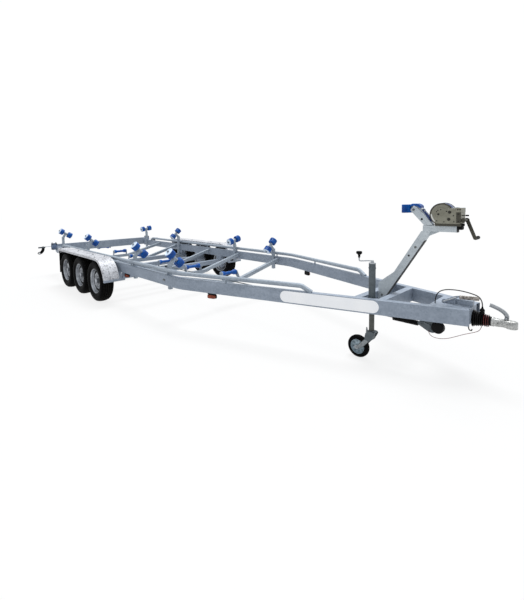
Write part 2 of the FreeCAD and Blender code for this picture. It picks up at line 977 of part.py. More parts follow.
# Axles: a square beam under the rails, trailing arms, backplates and stubs
def axles():
    beam_half = rail_face + s.arm_gap
    half = s.axle_section / 2
    plate_side = wheel_side - s.drum_back - s.brake_gap
    spindle = plate_side - beam_half
    stub = s.drum_back + s.brake_gap
    solids = []
    for number in range(axle_count):
        name = f"axle_{number + 1}"
        size = (s.axle_section, beam_half * 2, s.axle_section)
        pieces = [box(f"{name}_beam", size, (s.arm_length - half, -beam_half, axle_height - half))]
        for word, way in (("right", right), ("left", left)):
            pieces.append(
                plate(
                    f"{name}_arm_{word}",
                    "XZ_Plane",
                    [
                        (-s.arm_half, s.tyre_radius - s.arm_half),
                        (s.arm_half, s.tyre_radius - s.arm_half),
                        (s.arm_length + half, axle_height - half),
                        (s.arm_length + half, axle_height + half),
                        (s.arm_length - half, axle_height + half),
                        (-s.arm_half, s.tyre_radius + s.arm_half),
                    ],
                    s.arm_thickness,
                    offset=-way * (beam_half + s.arm_thickness / 2),
                )
            )
            size = (s.axle_section * 2, s.rail_width, s.axle_seat)
            near = -rail_face if way == right else rail_inside
            corner = (s.arm_length - s.axle_section, near, axle_height + half)
            pieces.append(box(f"{name}_seat_{word}", size, corner))
            for kind, radius, length, start in (
                ("spindle", s.arm_half - s.backplate, spindle, beam_half),
                ("backplate", s.drum_radius, s.backplate, plate_side - s.backplate),
                ("stub", s.stub_radius, stub, plate_side - s.backplate),
            ):
                near = start if way == left else -start - length
                pieces.append(rod(f"{name}_{kind}_{word}", radius, length, (zero, near, s.tyre_radius), "y"))
        solids.append(move(join(name, pieces), -number * s.axle_spacing))
    node("axles", group("axles", solids))


# Mudguards: a flat top that drops round the front wheel, with a lip along both edges
def mudguards():
    width = guard_outer - guard_inner
    radius = guard_top - s.tyre_radius
    drop = guard_foot - s.tyre_radius
    start = s.guard_arc_at
    rear = -s.axle_spacing * (axle_count - 1) - s.guard_overhang

    def strip(name, depth, thickness, middle):
        inner = radius - depth
        return plate(
            name,
            "XZ_Plane",
            [
                (rear, guard_top),
                (start, guard_top),
                (start + root(radius * radius - drop * drop), guard_foot),
                (start + root(inner * inner - drop * drop), guard_foot),
                (start, guard_top - depth),
                (rear + depth, guard_top - depth),
                (rear + depth, guard_top - s.guard_tail),
                (rear, guard_top - s.guard_tail),
            ],
            thickness,
            offset=middle,
            arcs={1: (start, s.tyre_radius, radius), 3: (start, s.tyre_radius, inner)},
        )

    half_sheet = s.guard_sheet / 2
    top = strip("guard_sheet", s.guard_sheet, width, guard_outer - width / 2)
    lips = [
        strip(f"guard_lip_{word}", s.guard_lip, s.guard_sheet, middle)
        for word, middle in (
            ("outer", guard_outer - half_sheet),
            ("inner", guard_inner + half_sheet),
        )
    ]
    both_sides("mudguards", join("guard", [top] + lips))
    high = guard_top - s.guard_tail + s.flap_lap
    flap = box(
        "flap",
        (s.flap_sheet, width - s.flap_edge * 2, high - s.flap_foot_height),
        (rear - s.flap_sheet, s.flap_edge - guard_outer, s.flap_foot_height),
    )
    both_sides("mud_flaps", flap)


def guard_arms():
    """Brackets from the rail's outer face to the guard's inner lip, and the arm under its foot."""
    half = s.bracket_width / 2
    inner = guard_inner - s.bracket_sheet
    pieces = []
    for number, share in enumerate(bracket_shares):
        at = -s.axle_spacing * share
        foot = box(
            f"bracket_{number}_foot",
            (s.bracket_width, inner - rail_face, s.bracket_foot),
            (at - half, -inner, rail_middle),
        )
        upright = box(
            f"bracket_{number}_plate",
            (s.bracket_width, s.bracket_sheet, guard_top - s.bracket_sheet - rail_middle),
            (at - half, -guard_inner, rail_middle),
        )
        pieces.append(join(f"bracket_{number}", [foot, upright]))
    rear = s.foot_arm_at - s.foot_arm_section / 2
    low = guard_foot - s.foot_arm_height
    bar = box(
        "foot_arm",
        (s.foot_arm_section, guard_outer - s.rail_half_spread, s.foot_arm_height),
        (rear, -guard_outer, low),
    )
    hanger = box(
        "foot_hanger",
        (s.foot_arm_section, s.rail_width / 2, rail_underside - low),
        (rear, -rail_face, low),
    )
    pieces.append(join("foot_bracket", [bar, hanger]))
    both_sides("mudguard_arms", group("guard_arms", pieces))


# Cross-members of the nose, trimmed to the rails' inner faces
def between_rails(name, rear, front):
    """All the space between the rails' inner faces from rear to front."""
    return plate(
        name,
        "XY_Plane",
        [
            (rear, -inside_line(rear)),
            (front, -inside_line(front)),
            (front, inside_line(front)),
            (rear, inside_line(rear)),
        ],
        s.rail_height,
        offset=rail_middle,
    )


def front_crossmembers():
    half = s.member_width / 2
    nose_member_at = s.nose_at - s.nose_member_back
    nose = between_rails("nose_member", nose_member_at - half, nose_member_at + half)
    winch = between_rails("winch_member", winch_member_at - half, winch_member_at + half)
    low = rail_middle - s.clamp_height / 2
    ring = s.jockey_outer_radius + s.clamp_wall
    clamp = rod("clamp_ring", ring, s.clamp_height, (jockey_at, -jockey_side, low))
    web = box(
        "clamp_web",
        (s.jockey_ahead - half, s.clamp_web_width, s.clamp_height),
        (winch_member_at + half, -jockey_side - s.clamp_web_width / 2, low),
    )
    bore = s.jockey_outer_radius + s.pin_clearance
    hole = rod("clamp_hole", bore, s.clamp_height, (jockey_at, -jockey_side, low))
    holder = cut("clamp", join("clamp_body", [clamp, web, winch]), hole)
    node("front_crossmembers", group("front_crossmembers", [nose, holder]))


# Coupling: housing between the rails, bellows, ball head with its lever, and the handbrake
def coupling():
    start = s.nose_at - s.housing_length
    hump = box(
        "housing_hump",
        (s.hump_length, s.hump_half * 2, s.hump_height),
        (s.nose_at - s.hump_length, -s.hump_half, rail_top),
    )
    node("coupling_housing", join("coupling_housing", [between_rails("housing", start, s.nose_at), hump]))
    bellows = rod("bellows", s.bellows_radius, s.bellows_length, (zero, zero, zero), "x")
    node("bellows", bellows, shift + s.nose_at, zero, coupling_height)
    start = s.nose_at + s.bellows_length
    cup_at = coupling_reach - s.cup_radius
    mouth = coupling_height - s.cup_height / 2
    neck = rod("neck", s.head_radius, cup_at - start, (start, zero, coupling_height), "x")
    cup = rod("cup", s.cup_radius, s.cup_height, (cup_at, zero, mouth))
    crown = doc.addObject("Part::Sphere", "socket_crown")
    bind(crown, Radius=s.socket_radius)
    move(crown, cup_at, zero, mouth + s.socket_depth)
    barrel = rod("socket_mouth", s.socket_radius, s.socket_depth, (cup_at, zero, mouth))
    socket = join("socket", [crown, barrel])
    node("coupling_head", cut("coupling_head", join("head_body", [neck, cup]), socket))
    top = coupling_height + s.cup_height / 2
    sheet, high = s.lever_sheet, top + s.lever_rise
    lever = plate(
        "coupling_lever",
        "XZ_Plane",
        [
            (cup_at - sheet, top),
            (cup_at + sheet, top),
            (cup_at - sheet / 2, high - s.lever_neck),
            (cup_at - s.lever_neck, high),
            (cup_at - s.lever_back, high),
            (cup_at - s.lever_back, high - sheet),
            (cup_at - s.lever_elbow, high - sheet),
            (cup_at - s.lever_neck, high - s.lever_elbow),
        ],
        s.lever_width,
    )
    node("coupling_lever", lever)


def handbrake():
    at, grip_height = s.nose_at - s.quadrant_back, rail_top + s.grip_rise
    high = grip_height + s.grip_radius
    quadrant = plate(
        "quadrant",
        "XZ_Plane",
        [
            (at - s.quadrant_length, rail_top),
            (at, rail_top),
            (at + s.grip_radius, grip_height),
            (at + s.grip_radius, high),
            (at, high),
            (at - s.quadrant_length * quadrant_step_share, rail_top + s.hump_height),
            (at - s.quadrant_length, rail_top + s.hump_height / 2),
        ],
        s.quadrant_sheet,
        offset=s.quadrant_side,
    )
    grip = rod("grip", s.grip_radius, s.grip_length, (at, -s.quadrant_side, grip_height), "x")
    node("handbrake_lever", join("handbrake_lever", [quadrant, grip]))


# Brake rod along the frame, the plate that pulls it and the spring round it
def brake_rod():
    side, height = s.brake_rod_side, rail_underside - s.brake_rod_drop
    start, end = s.brake_rod_rear_at, s.nose_at - s.crank_plate_back
    pull = rod("pull_rod", s.brake_rod_radius, end - start, (start, -side, height), "x")
    beam_top = axle_height + s.axle_section / 2
    eye = box(
        "brake_eye",
        (s.brake_eye_length, s.brake_eye_width, height + s.brake_rod_radius * 2 - beam_top),
        (start, -side - s.brake_eye_width / 2, beam_top),
    )
    length, drop = s.crank_plate_length, s.crank_plate_drop
    low = rail_underside - drop
    crank = plate(
        "crank_plate",
        "XZ_Plane",
        [
            (end, height + s.brake_rod_radius * 2),
            (end, height - s.brake_rod_radius * 2),
            (end + length / 2, low),
            (end + length * crank_corner_share, low),
            (end + length, low + drop * crank_nose_share),
            (end + length, rail_underside),
            (end + length * crank_corner_share, rail_underside),
        ],
        s.crank_plate_sheet,
        offset=side,
    )
    width = s.brake_disc_width
    start = (end + length - s.brake_disc_back, -side - width / 2, rail_underside - drop / 2)
    disc = rod("brake_disc", s.brake_disc_radius, width, start, "y")
    node("brake_linkage", join("brake_linkage", [pull, eye, crank, disc]))
    start = (end - s.spring_length, -side, height)
    spring = cut(
        "brake_spring",
        rod("spring_body", s.spring_radius, s.spring_length, start, "x"),
        rod("spring_bore", s.brake_rod_radius, s.spring_length, start, "x"),
    )
    node("brake_spring", spring)


def winch_post():
    top_rear_at = post_rear_at + s.post_top_run
    top_front_at = top_rear_at + s.post_top_length
    column = plate(
        "column",
        "XZ_Plane",
        [
            (post_rear_at, rail_underside),
            (post_rear_at + s.post_foot_length, rail_underside),
            (post_rear_at + s.post_foot_length, rail_top - s.post_front_drop),
            (top_front_at, post_top),
            (top_rear_at, post_top),
            (post_rear_at + s.post_waist_run, rail_top + s.post_waist_rise),
            (post_rear_at, rail_top + s.post_flare_rise),
        ],
        s.winch_post_width,
    )
    arm = box(
        "winch_arm",
        (s.winch_arm_length, s.winch_post_width, s.winch_arm_height),
        (arm_rear_at, -s.winch_post_width / 2, post_top),
    )
    gusset = plate(
        "arm_gusset",
        "XZ_Plane",
        [
            (top_front_at, post_top),
            (top_rear_at, post_top - s.gusset),
            (top_front_at + s.gusset, post_top),
        ],
        s.quadrant_sheet,
    )
    at, height = arm_rear_at - s.bow_back, arm_top + s.bow_rise
    foot_at, end = arm_rear_at + s.bow_arm_run, height + s.bow_arm_end
    bow_arm = plate(
        "bow_arm",
        "XZ_Plane",
        [
            (foot_at, arm_top),
            (foot_at + s.bow_arm_foot, arm_top),
            (at + s.bow_arm_end, end),
            (at, end),
            (at, end - s.bow_arm_foot),
        ],
        s.bow_arm_width,
    )
    node("winch_post", join("winch_post", [column, arm, gusset, bow_arm]))
    wing, sheet = s.bow_wing_half, s.bow_wing_sheet
    block = plate(
        "bow_block",
        "XY_Plane",
        [
            (at, -s.bow_apex_half),
            (at, s.bow_apex_half),
            (at - s.bow_wing_back, wing),
            (at - s.bow_wing_back - sheet, wing - sheet / 2),
            (at - sheet * 2, zero),
            (at - s.bow_wing_back - sheet, -wing + sheet / 2),
            (at - s.bow_wing_back, -wing),
        ],
        s.bow_block_height,
        offset=height,
    )
    node("bow_block", block)


def winch():
    top, span = arm_top, s.winch_cheek_half * 2
    drum_at = arm_rear_at + s.drum_run
    drum_height = top + s.winch_floor + s.drum_clearance + s.drum_flange_radius
    cheek_rear_at = arm_rear_at + s.cheek_run
    cheek_front_at = cheek_rear_at + s.cheek_length
    crank_at, crank_height = cheek_front_at - s.crank_back, drum_height - s.crank_depth
    cheeks = [
        plate(
            f"cheek_{word}",
            "XZ_Plane",
            [
                (cheek_rear_at, top),
                (cheek_front_at, top),
                (cheek_front_at, crank_height + s.crank_bar * 2),
                (drum_at + s.drum_core_radius, drum_height + s.cheek_edge),
                (cheek_rear_at, drum_height + s.cheek_edge),
            ],
            s.winch_cheek,
            offset=way * (s.winch_cheek_half + s.winch_cheek / 2),
        )
        for word, way in (("right", right), ("left", left))
    ]
    floor = box(
        "winch_bed",
        (s.cheek_length, span, s.winch_floor),
        (cheek_rear_at, -s.winch_cheek_half, top),
    )
    pin = rod(
        "drum_pin",
        s.drum_pin_radius,
        span,
        (drum_at, -s.winch_cheek_half, drum_height),
        "y",
    )
    hole = rod(
        "crank_hole",
        s.crank_bar + s.pin_clearance,
        span + s.overrun * 2,
        (crank_at, -s.winch_cheek_half - s.overrun, crank_height),
        "y",
    )
    node("winch_frame", cut("winch_frame", join("winch_body", cheeks + [floor, pin]), hole))
    half, flange = s.drum_half, s.drum_flange
    bore = s.drum_pin_radius + s.pin_clearance
    drum = turned(
        "winch_drum",
        [
            (bore, -half),
            (s.drum_flange_radius, -half),
            (s.drum_flange_radius, -half + flange),
            (s.drum_core_radius, -half + flange),
            (s.drum_core_radius, half - flange),
            (s.drum_flange_radius, half - flange),
            (s.drum_flange_radius, half),
            (bore, half),
        ],
    )
    node("winch_drum", drum, shift + drum_at, zero, drum_height)
    start = -s.winch_cheek_half
    arm_side = s.winch_cheek_half + s.winch_cheek + s.crank_gap
    shaft = rod("crank_shaft", s.crank_bar, arm_side - start, (zero, start, zero), "y")
    reach, drop = s.crank_reach, s.crank_drop
    throw = root(reach * reach + drop * drop)
    across, down = s.crank_bar * drop / throw, s.crank_bar * reach / throw
    arm = plate(
        "crank_arm",
        "XZ_Plane",
        [
            (across - down, down + across),
            (-across - down, across - down),
            (reach - across + down, -drop - down - across),
            (reach + across + down, -drop + down - across),
        ],
        s.crank_bar,
        offset=-arm_side - s.crank_bar / 2,
    )
    start = (reach, arm_side + s.crank_bar / 2, -drop)
    grip = rod("crank_grip", s.crank_grip_radius, s.crank_grip_length, start, "y")
    crank = join("winch_crank", [shaft, arm, grip])
    node("winch_crank", crank, shift + crank_at, zero, crank_height)


# Jockey wheel: outer tube in its clamp, inner tube on a screw, swivelling fork and wheel
def jockey():
    outer_foot, outer_top = rail_underside - s.jockey_foot_drop, rail_top + s.jockey_top_rise
    length = outer_top - outer_foot
    bore = s.jockey_inner_radius + s.pin_clearance
    outer = cut(
        "jockey_outer_tube",
        rod("jockey_outer", s.jockey_outer_radius, length, (zero, zero, zero)),
        rod("jockey_bore", bore, length - s.fork_plate, (zero, zero, zero)),
    )
    at, side = shift + jockey_at, -jockey_side
    node("jockey_outer_tube", outer, at, side, outer_foot)
    hub = rod("handle_hub", s.hub_radius, s.hub_height, (zero, zero, zero))
    high = s.hub_height / 2
    handle = rod("handle", s.handle_radius, s.handle_reach, (-s.handle_reach, zero, high), "x")
    stem = rod("knob_stem", s.knob_stem_radius, s.knob_stem, (-s.handle_reach, zero, high))
    knob = rod("knob", s.knob_radius, s.knob_height, (-s.handle_reach, zero, high + s.knob_stem))
    node("jockey_crank", join("jockey_crank", [hub, handle, stem, knob]), at, side, outer_top)
    crown_top = s.jockey_inner_foot_height - s.brake_gap
    swivel = s.brake_gap + s.fork_crown
    inner_length = rail_top + s.jockey_inner_rise - s.jockey_inner_foot_height
    inner = join(
        "jockey_inner_tube",
        [
            rod("jockey_inner", s.jockey_inner_radius, inner_length, (zero, zero, zero)),
            rod("jockey_swivel", s.jockey_pin_radius, swivel, (zero, zero, -swivel)),
        ],
    )
    node("jockey_inner_tube", inner, at, side, s.jockey_inner_foot_height)
    leg_side = s.jockey_wheel_half + s.fork_side_gap + s.fork_plate / 2
    half = s.jockey_inner_radius
    axle = s.jockey_wheel_radius
    foot = s.fork_foot
    legs = [
        plate(
            f"fork_leg_{word}",
            "XZ_Plane",
            [
                (-half, crown_top),
                (-s.jockey_trail - foot, axle + foot),
                (-s.jockey_trail - foot, axle - foot),
                (-s.jockey_trail + foot, axle - foot),
                (s.fork_shoulder, crown_top - s.fork_crown * 2),
                (s.fork_shoulder, crown_top - s.fork_crown),
                (half, crown_top),
            ],
            s.fork_plate,
            offset=way * leg_side,
        )
        for word, way in (("right", right), ("left", left))
    ]
    crown = box(
        "fork_crown",
        (half * 2, leg_side * 2, s.fork_crown),
        (-half, -leg_side, crown_top - s.fork_crown),
    )
    bore = s.jockey_pin_radius + s.pin_clearance
    hole = rod("fork_bore", bore, s.fork_crown, (zero, zero, crown_top - s.fork_crown))
    span = leg_side * 2 + s.fork_plate
    pin = rod("fork_axle", s.jockey_axle_radius, span, (-s.jockey_trail, -span / 2, axle), "y")
    fork = join("jockey_fork", [cut("fork_head", join("fork_body", [crown] + legs), hole), pin])
    node("jockey_fork", fork, at, side)
    wide, core = s.jockey_wheel_half, s.jockey_axle_radius + s.pin_clearance
    rim_radius, sheet = s.jockey_rim_radius, s.fork_plate
    hub = rim_radius * jockey_hub_share
    rim = turned(
        "jockey_rim",
        [
            (core, -wide),
            (hub, -wide),
            (hub, -wide + sheet),
            (rim_radius - sheet, -wide + sheet),
            (rim_radius - sheet, -wide),
            (rim_radius, -wide),
            (rim_radius, wide),
            (rim_radius - sheet, wide),
            (rim_radius - sheet, wide - sheet),
            (hub, wide - sheet),
            (hub, wide),
            (core, wide),
        ],
    )
    wheel_at, edge = at - s.jockey_trail, s.jockey_tyre_edge
    node("jockey_rim", rim, wheel_at, side, axle)
    tyre = turned(
        "jockey_tyre",
        [
            (rim_radius, -wide),
            (axle - edge, -wide),
            (axle, -wide + edge),
            (axle, wide - edge),
            (axle - edge, wide),
            (rim_radius, wide),
        ],
    )
    node("jockey_tyre", tyre, wheel_at, side, axle)


# Cables: straight runs joined by arcs, each arc as large as the shorter run beside it allows
def cord(label, word, route, radius):
    points = [
        spot(*(getattr(s, f"{word}_{axis}_{number}") for axis in "xyz")) for number in range(len(route))
    ]
    bends = []
    for before, corner, after in zip(points, points[1:], points[2:]):
        back, ahead = before - corner, after - corner
        half = back.getAngle(ahead) / 2
        bends.append(run_share * min(back.Length, ahead.Length) * math.tan(half))
    shape = tube(points, bends, float(radius))
    length = tube_path(points, bends).Length
    print(label, "radii", [round(bend) for bend in bends])
    print(label, "volume", round(shape.Volume), "of", round(math.pi * float(radius) ** 2 * length))
    node(label, made(label, shape))


def cables():
    cord("electric_cable", "cable", cable_route, s.cable_radius)
    plug = rod("cable_plug", s.plug_radius, s.plug_length, (zero, zero, zero))
    count = len(cable_route) - 1
    at, side, height = (getattr(s, f"cable_{axis}_{count}") for axis in "xyz")
    node("cable_plug", plug, shift + at, side, height - s.plug_length)
    cord("breakaway_cable", "thin_cable", thin_cable_route, s.thin_cable_radius)


main_rails()
chord_rails()
keel_crossmembers()
keel_rollers()
rear_beam()
marker_arms()
lamps()
side_roller_posts()
side_rollers()
for number in range(axle_count):
    for word, way in (("right", right), ("left", left)):
        wheel(word, way, number)
axles()
mudguards()
guard_arms()
front_crossmembers()
coupling()
handbrake()
brake_rod()
winch_post()
winch()
jockey()
cables()
doc.recompute()

for thing in doc.Objects:
    if any(state in thing.State for state in ("Invalid", "Error")):
        raise RuntimeError(f"{thing.Name} failed: {thing.State}")
os.makedirs("parts", exist_ok=True)
for thing in nodes:
    if thing.Shape.isNull() or not thing.Shape.isValid():
        raise RuntimeError(f"{thing.Label} has no valid shape")
    thing.Shape.exportStep(f"parts/{thing.Label}.step")
    print(thing.Label, len(thing.Shape.Solids), round(thing.Shape.Volume))
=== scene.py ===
import json
import math

import bpy
import bmesh
import numpy as np
from mathutils import Matrix, Vector


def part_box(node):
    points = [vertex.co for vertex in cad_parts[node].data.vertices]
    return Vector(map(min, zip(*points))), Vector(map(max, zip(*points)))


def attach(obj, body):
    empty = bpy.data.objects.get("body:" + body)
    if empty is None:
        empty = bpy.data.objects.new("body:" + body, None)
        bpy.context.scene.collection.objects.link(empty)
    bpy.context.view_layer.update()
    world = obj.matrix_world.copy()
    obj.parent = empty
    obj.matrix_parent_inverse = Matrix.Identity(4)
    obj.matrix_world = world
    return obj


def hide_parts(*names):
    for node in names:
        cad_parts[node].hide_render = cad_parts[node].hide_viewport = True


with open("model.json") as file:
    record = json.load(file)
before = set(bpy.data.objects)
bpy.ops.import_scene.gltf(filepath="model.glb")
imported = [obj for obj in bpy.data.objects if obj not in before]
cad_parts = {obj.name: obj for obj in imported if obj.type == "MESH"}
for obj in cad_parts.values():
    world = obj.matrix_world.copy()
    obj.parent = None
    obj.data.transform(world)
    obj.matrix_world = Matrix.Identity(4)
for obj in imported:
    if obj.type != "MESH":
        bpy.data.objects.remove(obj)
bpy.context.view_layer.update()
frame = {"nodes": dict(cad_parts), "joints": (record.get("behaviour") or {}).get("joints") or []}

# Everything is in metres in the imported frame. Places along X are counted from the front axle.
axleX = -0.9
fullTurn = 2 * np.pi
scene = bpy.context.scene
scene.view_settings.view_transform = "Standard"


def spot(x, y, z):
    return np.array([x + axleX, y, z], float)


# Camera at the photograph's place and angle
cameraSetup = {
    "place": (4.173, -3.037, 1.353),
    "azimuth": 46.18,
    "down": 3.987,
    "roll": -0.764,
    "focal": 348.333,
    "axisPixel": (248.449, 229.261),
    "frame": (524, 600),
    "sensor": 36,
}


def makeCamera(setup):
    wide, tall = setup["frame"]
    turn, down, roll = (math.radians(setup[k]) for k in ("azimuth", "down", "roll"))
    forward = Vector((-math.sin(turn) * math.cos(down), math.cos(turn) * math.cos(down), -math.sin(down)))
    level = Vector((math.cos(turn), math.sin(turn), 0))
    upright = level.cross(forward)
    right = level * math.cos(roll) + upright * math.sin(roll)
    up = upright * math.cos(roll) - level * math.sin(roll)
    data = bpy.data.cameras.new("camera")
    data.sensor_width = setup["sensor"]
    data.lens = setup["focal"] * data.sensor_width / max(wide, tall)
    data.shift_x = (wide / 2 - setup["axisPixel"][0]) / max(wide, tall)
    data.shift_y = (setup["axisPixel"][1] - tall / 2) / max(wide, tall)
    data.clip_start, data.clip_end = 0.05, 200
    camera = bpy.data.objects.new("camera", data)
    scene.collection.objects.link(camera)
    turned = Matrix((right, up, -forward)).transposed().to_4x4()
    camera.matrix_world = Matrix.Translation(setup["place"]) @ turned
    scene.camera = camera


makeCamera(cameraSetup)
print("camera placed")


class Wire:
    # The output of a shader node. Arithmetic on it adds Math nodes.
    def __init__(self, finish, socket):
        self.finish, self.socket = finish, socket

    def __add__(self, other):
        return self.finish.maths("ADD", self, other)

    def __radd__(self, other):
        return self.finish.maths("ADD", other, self)

    def __sub__(self, other):
        return self.finish.maths("SUBTRACT", self, other)

    def __rsub__(self, other):
        return self.finish.maths("SUBTRACT", other, self)

    def __mul__(self, other):
        return self.finish.maths("MULTIPLY", self, other)

    def __rmul__(self, other):
        return self.finish.maths("MULTIPLY", other, self)

    def __truediv__(self, other):
        return self.finish.maths("DIVIDE", self, other)

    def __rtruediv__(self, other):
        return self.finish.maths("DIVIDE", other, self)

    def __pow__(self, other):
        return self.finish.maths("POWER", self, other)

    def __rpow__(self, other):
        return self.finish.maths("POWER", other, self)


finishes = {}


def tone(colour):
    # A screen colour from 0 to 255 as the linear values that a shader takes
    part = np.array(colour) / 255
    return tuple(float(v) for v in np.where(part < 0.04045, part / 12.92, ((part + 0.055) / 1.055) ** 2.4))


class Finish:
    # One material: a Principled shader and the nodes that feed it
    def __init__(self, name, **values):
        self.material = bpy.data.materials.new(name)
        self.material.use_nodes = True
        self.tree = self.material.node_tree
        self.shader = next(n for n in self.tree.nodes if n.type == "BSDF_PRINCIPLED")
        self.set(**values)
        finishes[name] = self.material

    def node(self, kind, settings=None, inputs=None, output=0):
        made = self.tree.nodes.new(kind)
        for key, value in (settings or {}).items():
            setattr(made, key, value)
        for key, value in (inputs or {}).items():
            self.feed(made.inputs[key], value)
        return Wire(self, made.outputs[output])

    def feed(self, socket, value):
        if isinstance(value, Wire):
            self.tree.links.new(value.socket, socket)
        elif isinstance(value, (tuple, list)) and len(socket.default_value) == 4 and len(value) == 3:
            socket.default_value = (*value, 1)
        else:
            socket.default_value = value

    def set(self, **values):
        for key, value in values.items():
            self.feed(self.shader.inputs[key.replace("_", " ")], value)

    def maths(self, operation, first, second=0.0):
        return self.node("ShaderNodeMath", {"operation": operation}, {0: first, 1: second})

    def place(self):
        return self.node("ShaderNodeTexCoord", output="Object")

    def apart(self, vector):
        outputs = self.node("ShaderNodeSeparateXYZ", inputs={0: vector}).socket.node.outputs
        return [Wire(self, outputs[n]) for n in range(3)]

    def noise(self, scale, detail=2.0, vector=None):
        return self.node("ShaderNodeTexNoise", inputs={
            "Vector": vector or self.place(), "Scale": scale, "Detail": detail})

    def stretch(self, x, y, z):
        return self.node("ShaderNodeVectorMath", {"operation": "MULTIPLY"}, {0: self.place(), 1: (x, y, z)})

    def cells(self, scale):
        colour = self.node("ShaderNodeTexVoronoi", inputs={"Vector": self.place(), "Scale": scale}, output="Color")
        return self.node("ShaderNodeSeparateColor", inputs={0: colour})

    def attribute(self, name):
        return self.node("ShaderNodeAttribute", {"attribute_name": name}, output="Fac")

    def limit(self, value, low, high):
        # Value goes from 0 at low to 1 at high and stays between them
        return self.node("ShaderNodeMapRange", inputs={"Value": value, "From Min": low, "From Max": high})

    def mix(self, factor, first, second):
        # Between two colours, each a socket or a screen colour from 0 to 255
        first, second = (c if isinstance(c, Wire) else tone(c) for c in (first, second))
        return self.node("ShaderNodeMix", {"data_type": "RGBA"}, {0: factor, 6: first, 7: second}, 2)

    def blotches(self, scale, detail, dark, light):
        # Slow noise, with its middle range spread over the whole way from dark to light
        return self.mix(self.limit(self.noise(scale, detail), 0.35, 0.65), dark, light)

    def bump(self, height, distance):
        self.set(Normal=self.node("ShaderNodeBump", inputs={"Height": height, "Distance": distance}))


zincPattern = {
    "blotchScale": 3.5,
    "runScale": 14,
    "runStretch": (0.25, 1, 1.6),
    "shares": (0.2, 0.45, 0.35),  # of the cells, the blotches and the runs
    "contrast": (0.3, 0.7),
    "roughSwing": 0.18,
    "toothScale": 220,
    "depth": 0.0006,
}
steels = {  # dark and light tone, metallic, roughness, cells to a metre
    "galvanisedSteel": ((122, 133, 147), (155, 165, 179), 0.15, 0.42, 70),
    "galvanisedTube": ((131, 141, 153), (166, 176, 186), 0.18, 0.4, 70),
    "postSteel": ((170, 178, 184), (200, 207, 211), 0.18, 0.4, 70),
    "winchZinc": ((118, 116, 103), (145, 143, 129), 0.35, 0.36, 40),
    # painted highlight on the winch drum's flanges
    "drumBright": ((200, 200, 196), (223, 223, 219), 0.45, 0.3, 90),
    "jockeyZinc": ((67, 75, 79), (97, 105, 110), 0.4, 0.36, 55),
    "innerTubeSteel": ((64, 65, 62), (88, 89, 85), 0.45, 0.38, 50),
    "castHead": ((123, 123, 121), (226, 227, 225), 0.5, 0.28, 150),
    "brightZinc": ((140, 145, 150), (181, 185, 189), 0.6, 0.26, 90),
    "boltZinc": ((96, 99, 101), (137, 140, 141), 0.6, 0.3, 150),
    # lighter copy of jockeyZinc for the fork's arms, a painted highlight
    "forkSteel": ((90, 95, 99), (159, 165, 168), 0.45, 0.3, 110),
    "darkSteel": ((50, 49, 42), (79, 76, 66), 0.35, 0.42, 60),
    "barSteel": ((66, 72, 78), (98, 104, 110), 0.25, 0.42, 70),
    "darkBolt": ((34, 32, 27), (58, 55, 48), 0.35, 0.4, 90),
    "clampSteel": ((82, 99, 129), (127, 144, 172), 0.25, 0.4, 60),
}


def steelFinish(name, dark, light, metal, rough, spangle):
    # Zinc spangle: flat cells of slightly different grey, over slow blotches, slanting runs and a fine tooth
    p = zincPattern
    f = Finish(name, Metallic=metal)
    cells, slow = f.cells(spangle), f.noise(p["blotchScale"], 4.0)
    run = f.noise(p["runScale"], 3.0, f.stretch(*p["runStretch"]))
    shares = p["shares"]
    mixed = f.limit(cells * shares[0] + slow * shares[1] + run * shares[2], *p["contrast"])
    uneven = f.limit(cells * 0.5 + slow * 0.5, 0, 1)
    f.set(Base_Color=f.mix(mixed, dark, light), Roughness=uneven * p["roughSwing"] + rough)
    f.bump(f.noise(p["toothScale"], 2.0) * 0.5 + cells * 0.2, p["depth"])


for finishName, setup in steels.items():
    steelFinish(finishName, *setup)

plains = {  # dark and light tone, roughness, and what differs from the usual
    "blackPlastic": ((3, 3, 4), (10, 10, 11), 0.5, {"Specular_IOR_Level": 0.12}),
    "bellowsRubber": ((9, 8, 9), (22, 19, 21), 0.55, {"Specular_IOR_Level": 0.2}),
    "flapRubber": ((4, 4, 5), (11, 11, 12), 0.62, {"Specular_IOR_Level": 0.1}),
    "gripRubber": ((92, 85, 78), (178, 171, 164), 0.55, {"scale": 55}),
    "blackCable": ((10, 10, 12), (22, 22, 25), 0.4, {"scale": 30, "Specular_IOR_Level": 0.3}),
    "redCable": ((79, 17, 22), (114, 32, 36), 0.38, {"scale": 60}),
    "stickerWhite": ((246, 247, 250), (253, 253, 254), 0.28, {"scale": 4, "tooth": 60, "depth": 0.0002}),
    "amberLens": ((97, 34, 9), (140, 56, 19), 0.3, {"scale": 30, "Coat_Weight": 0.15, "Specular_IOR_Level": 0.3}),
    "redLens": ((123, 11, 13), (153, 21, 21), 0.16, {"scale": 20, "Coat_Weight": 0.6}),
    "clearLens": ((214, 216, 218), (232, 234, 236), 0.14, {"scale": 20, "Coat_Weight": 0.6}),
    # painted shade, for the dark inside of holes and of the post's open channel
    "holeShade": ((16, 17, 19), (24, 25, 27), 0.7, {}),
}


def plainFinish(name, dark, light, rough, scale=9, tooth=300, depth=0.0004, **values):
    # Moulded plastic or rubber: slow change of colour and a fine grain
    f = Finish(name, Roughness=rough, **values)
    f.set(Base_Color=f.blotches(scale, 4.0, dark, light))
    f.bump(f.noise(tooth, 2.0), depth)


for finishName, (dark, light, rough, more) in plains.items():
    plainFinish(finishName, dark, light, rough, **more)


def rollerFinish():
    # Moulded polyurethane, with a painted highlight that pales the end faces where the attribute is 1
    f = Finish("rollerBlue", Roughness=0.34, Specular_IOR_Level=0.25)
    body = f.blotches(16, 3.0, (0, 60, 133), (9, 86, 165))
    f.set(Base_Color=f.mix(f.attribute("pale"), body, (222, 236, 250)))
    f.bump(f.noise(160, 2.0), 0.0006)


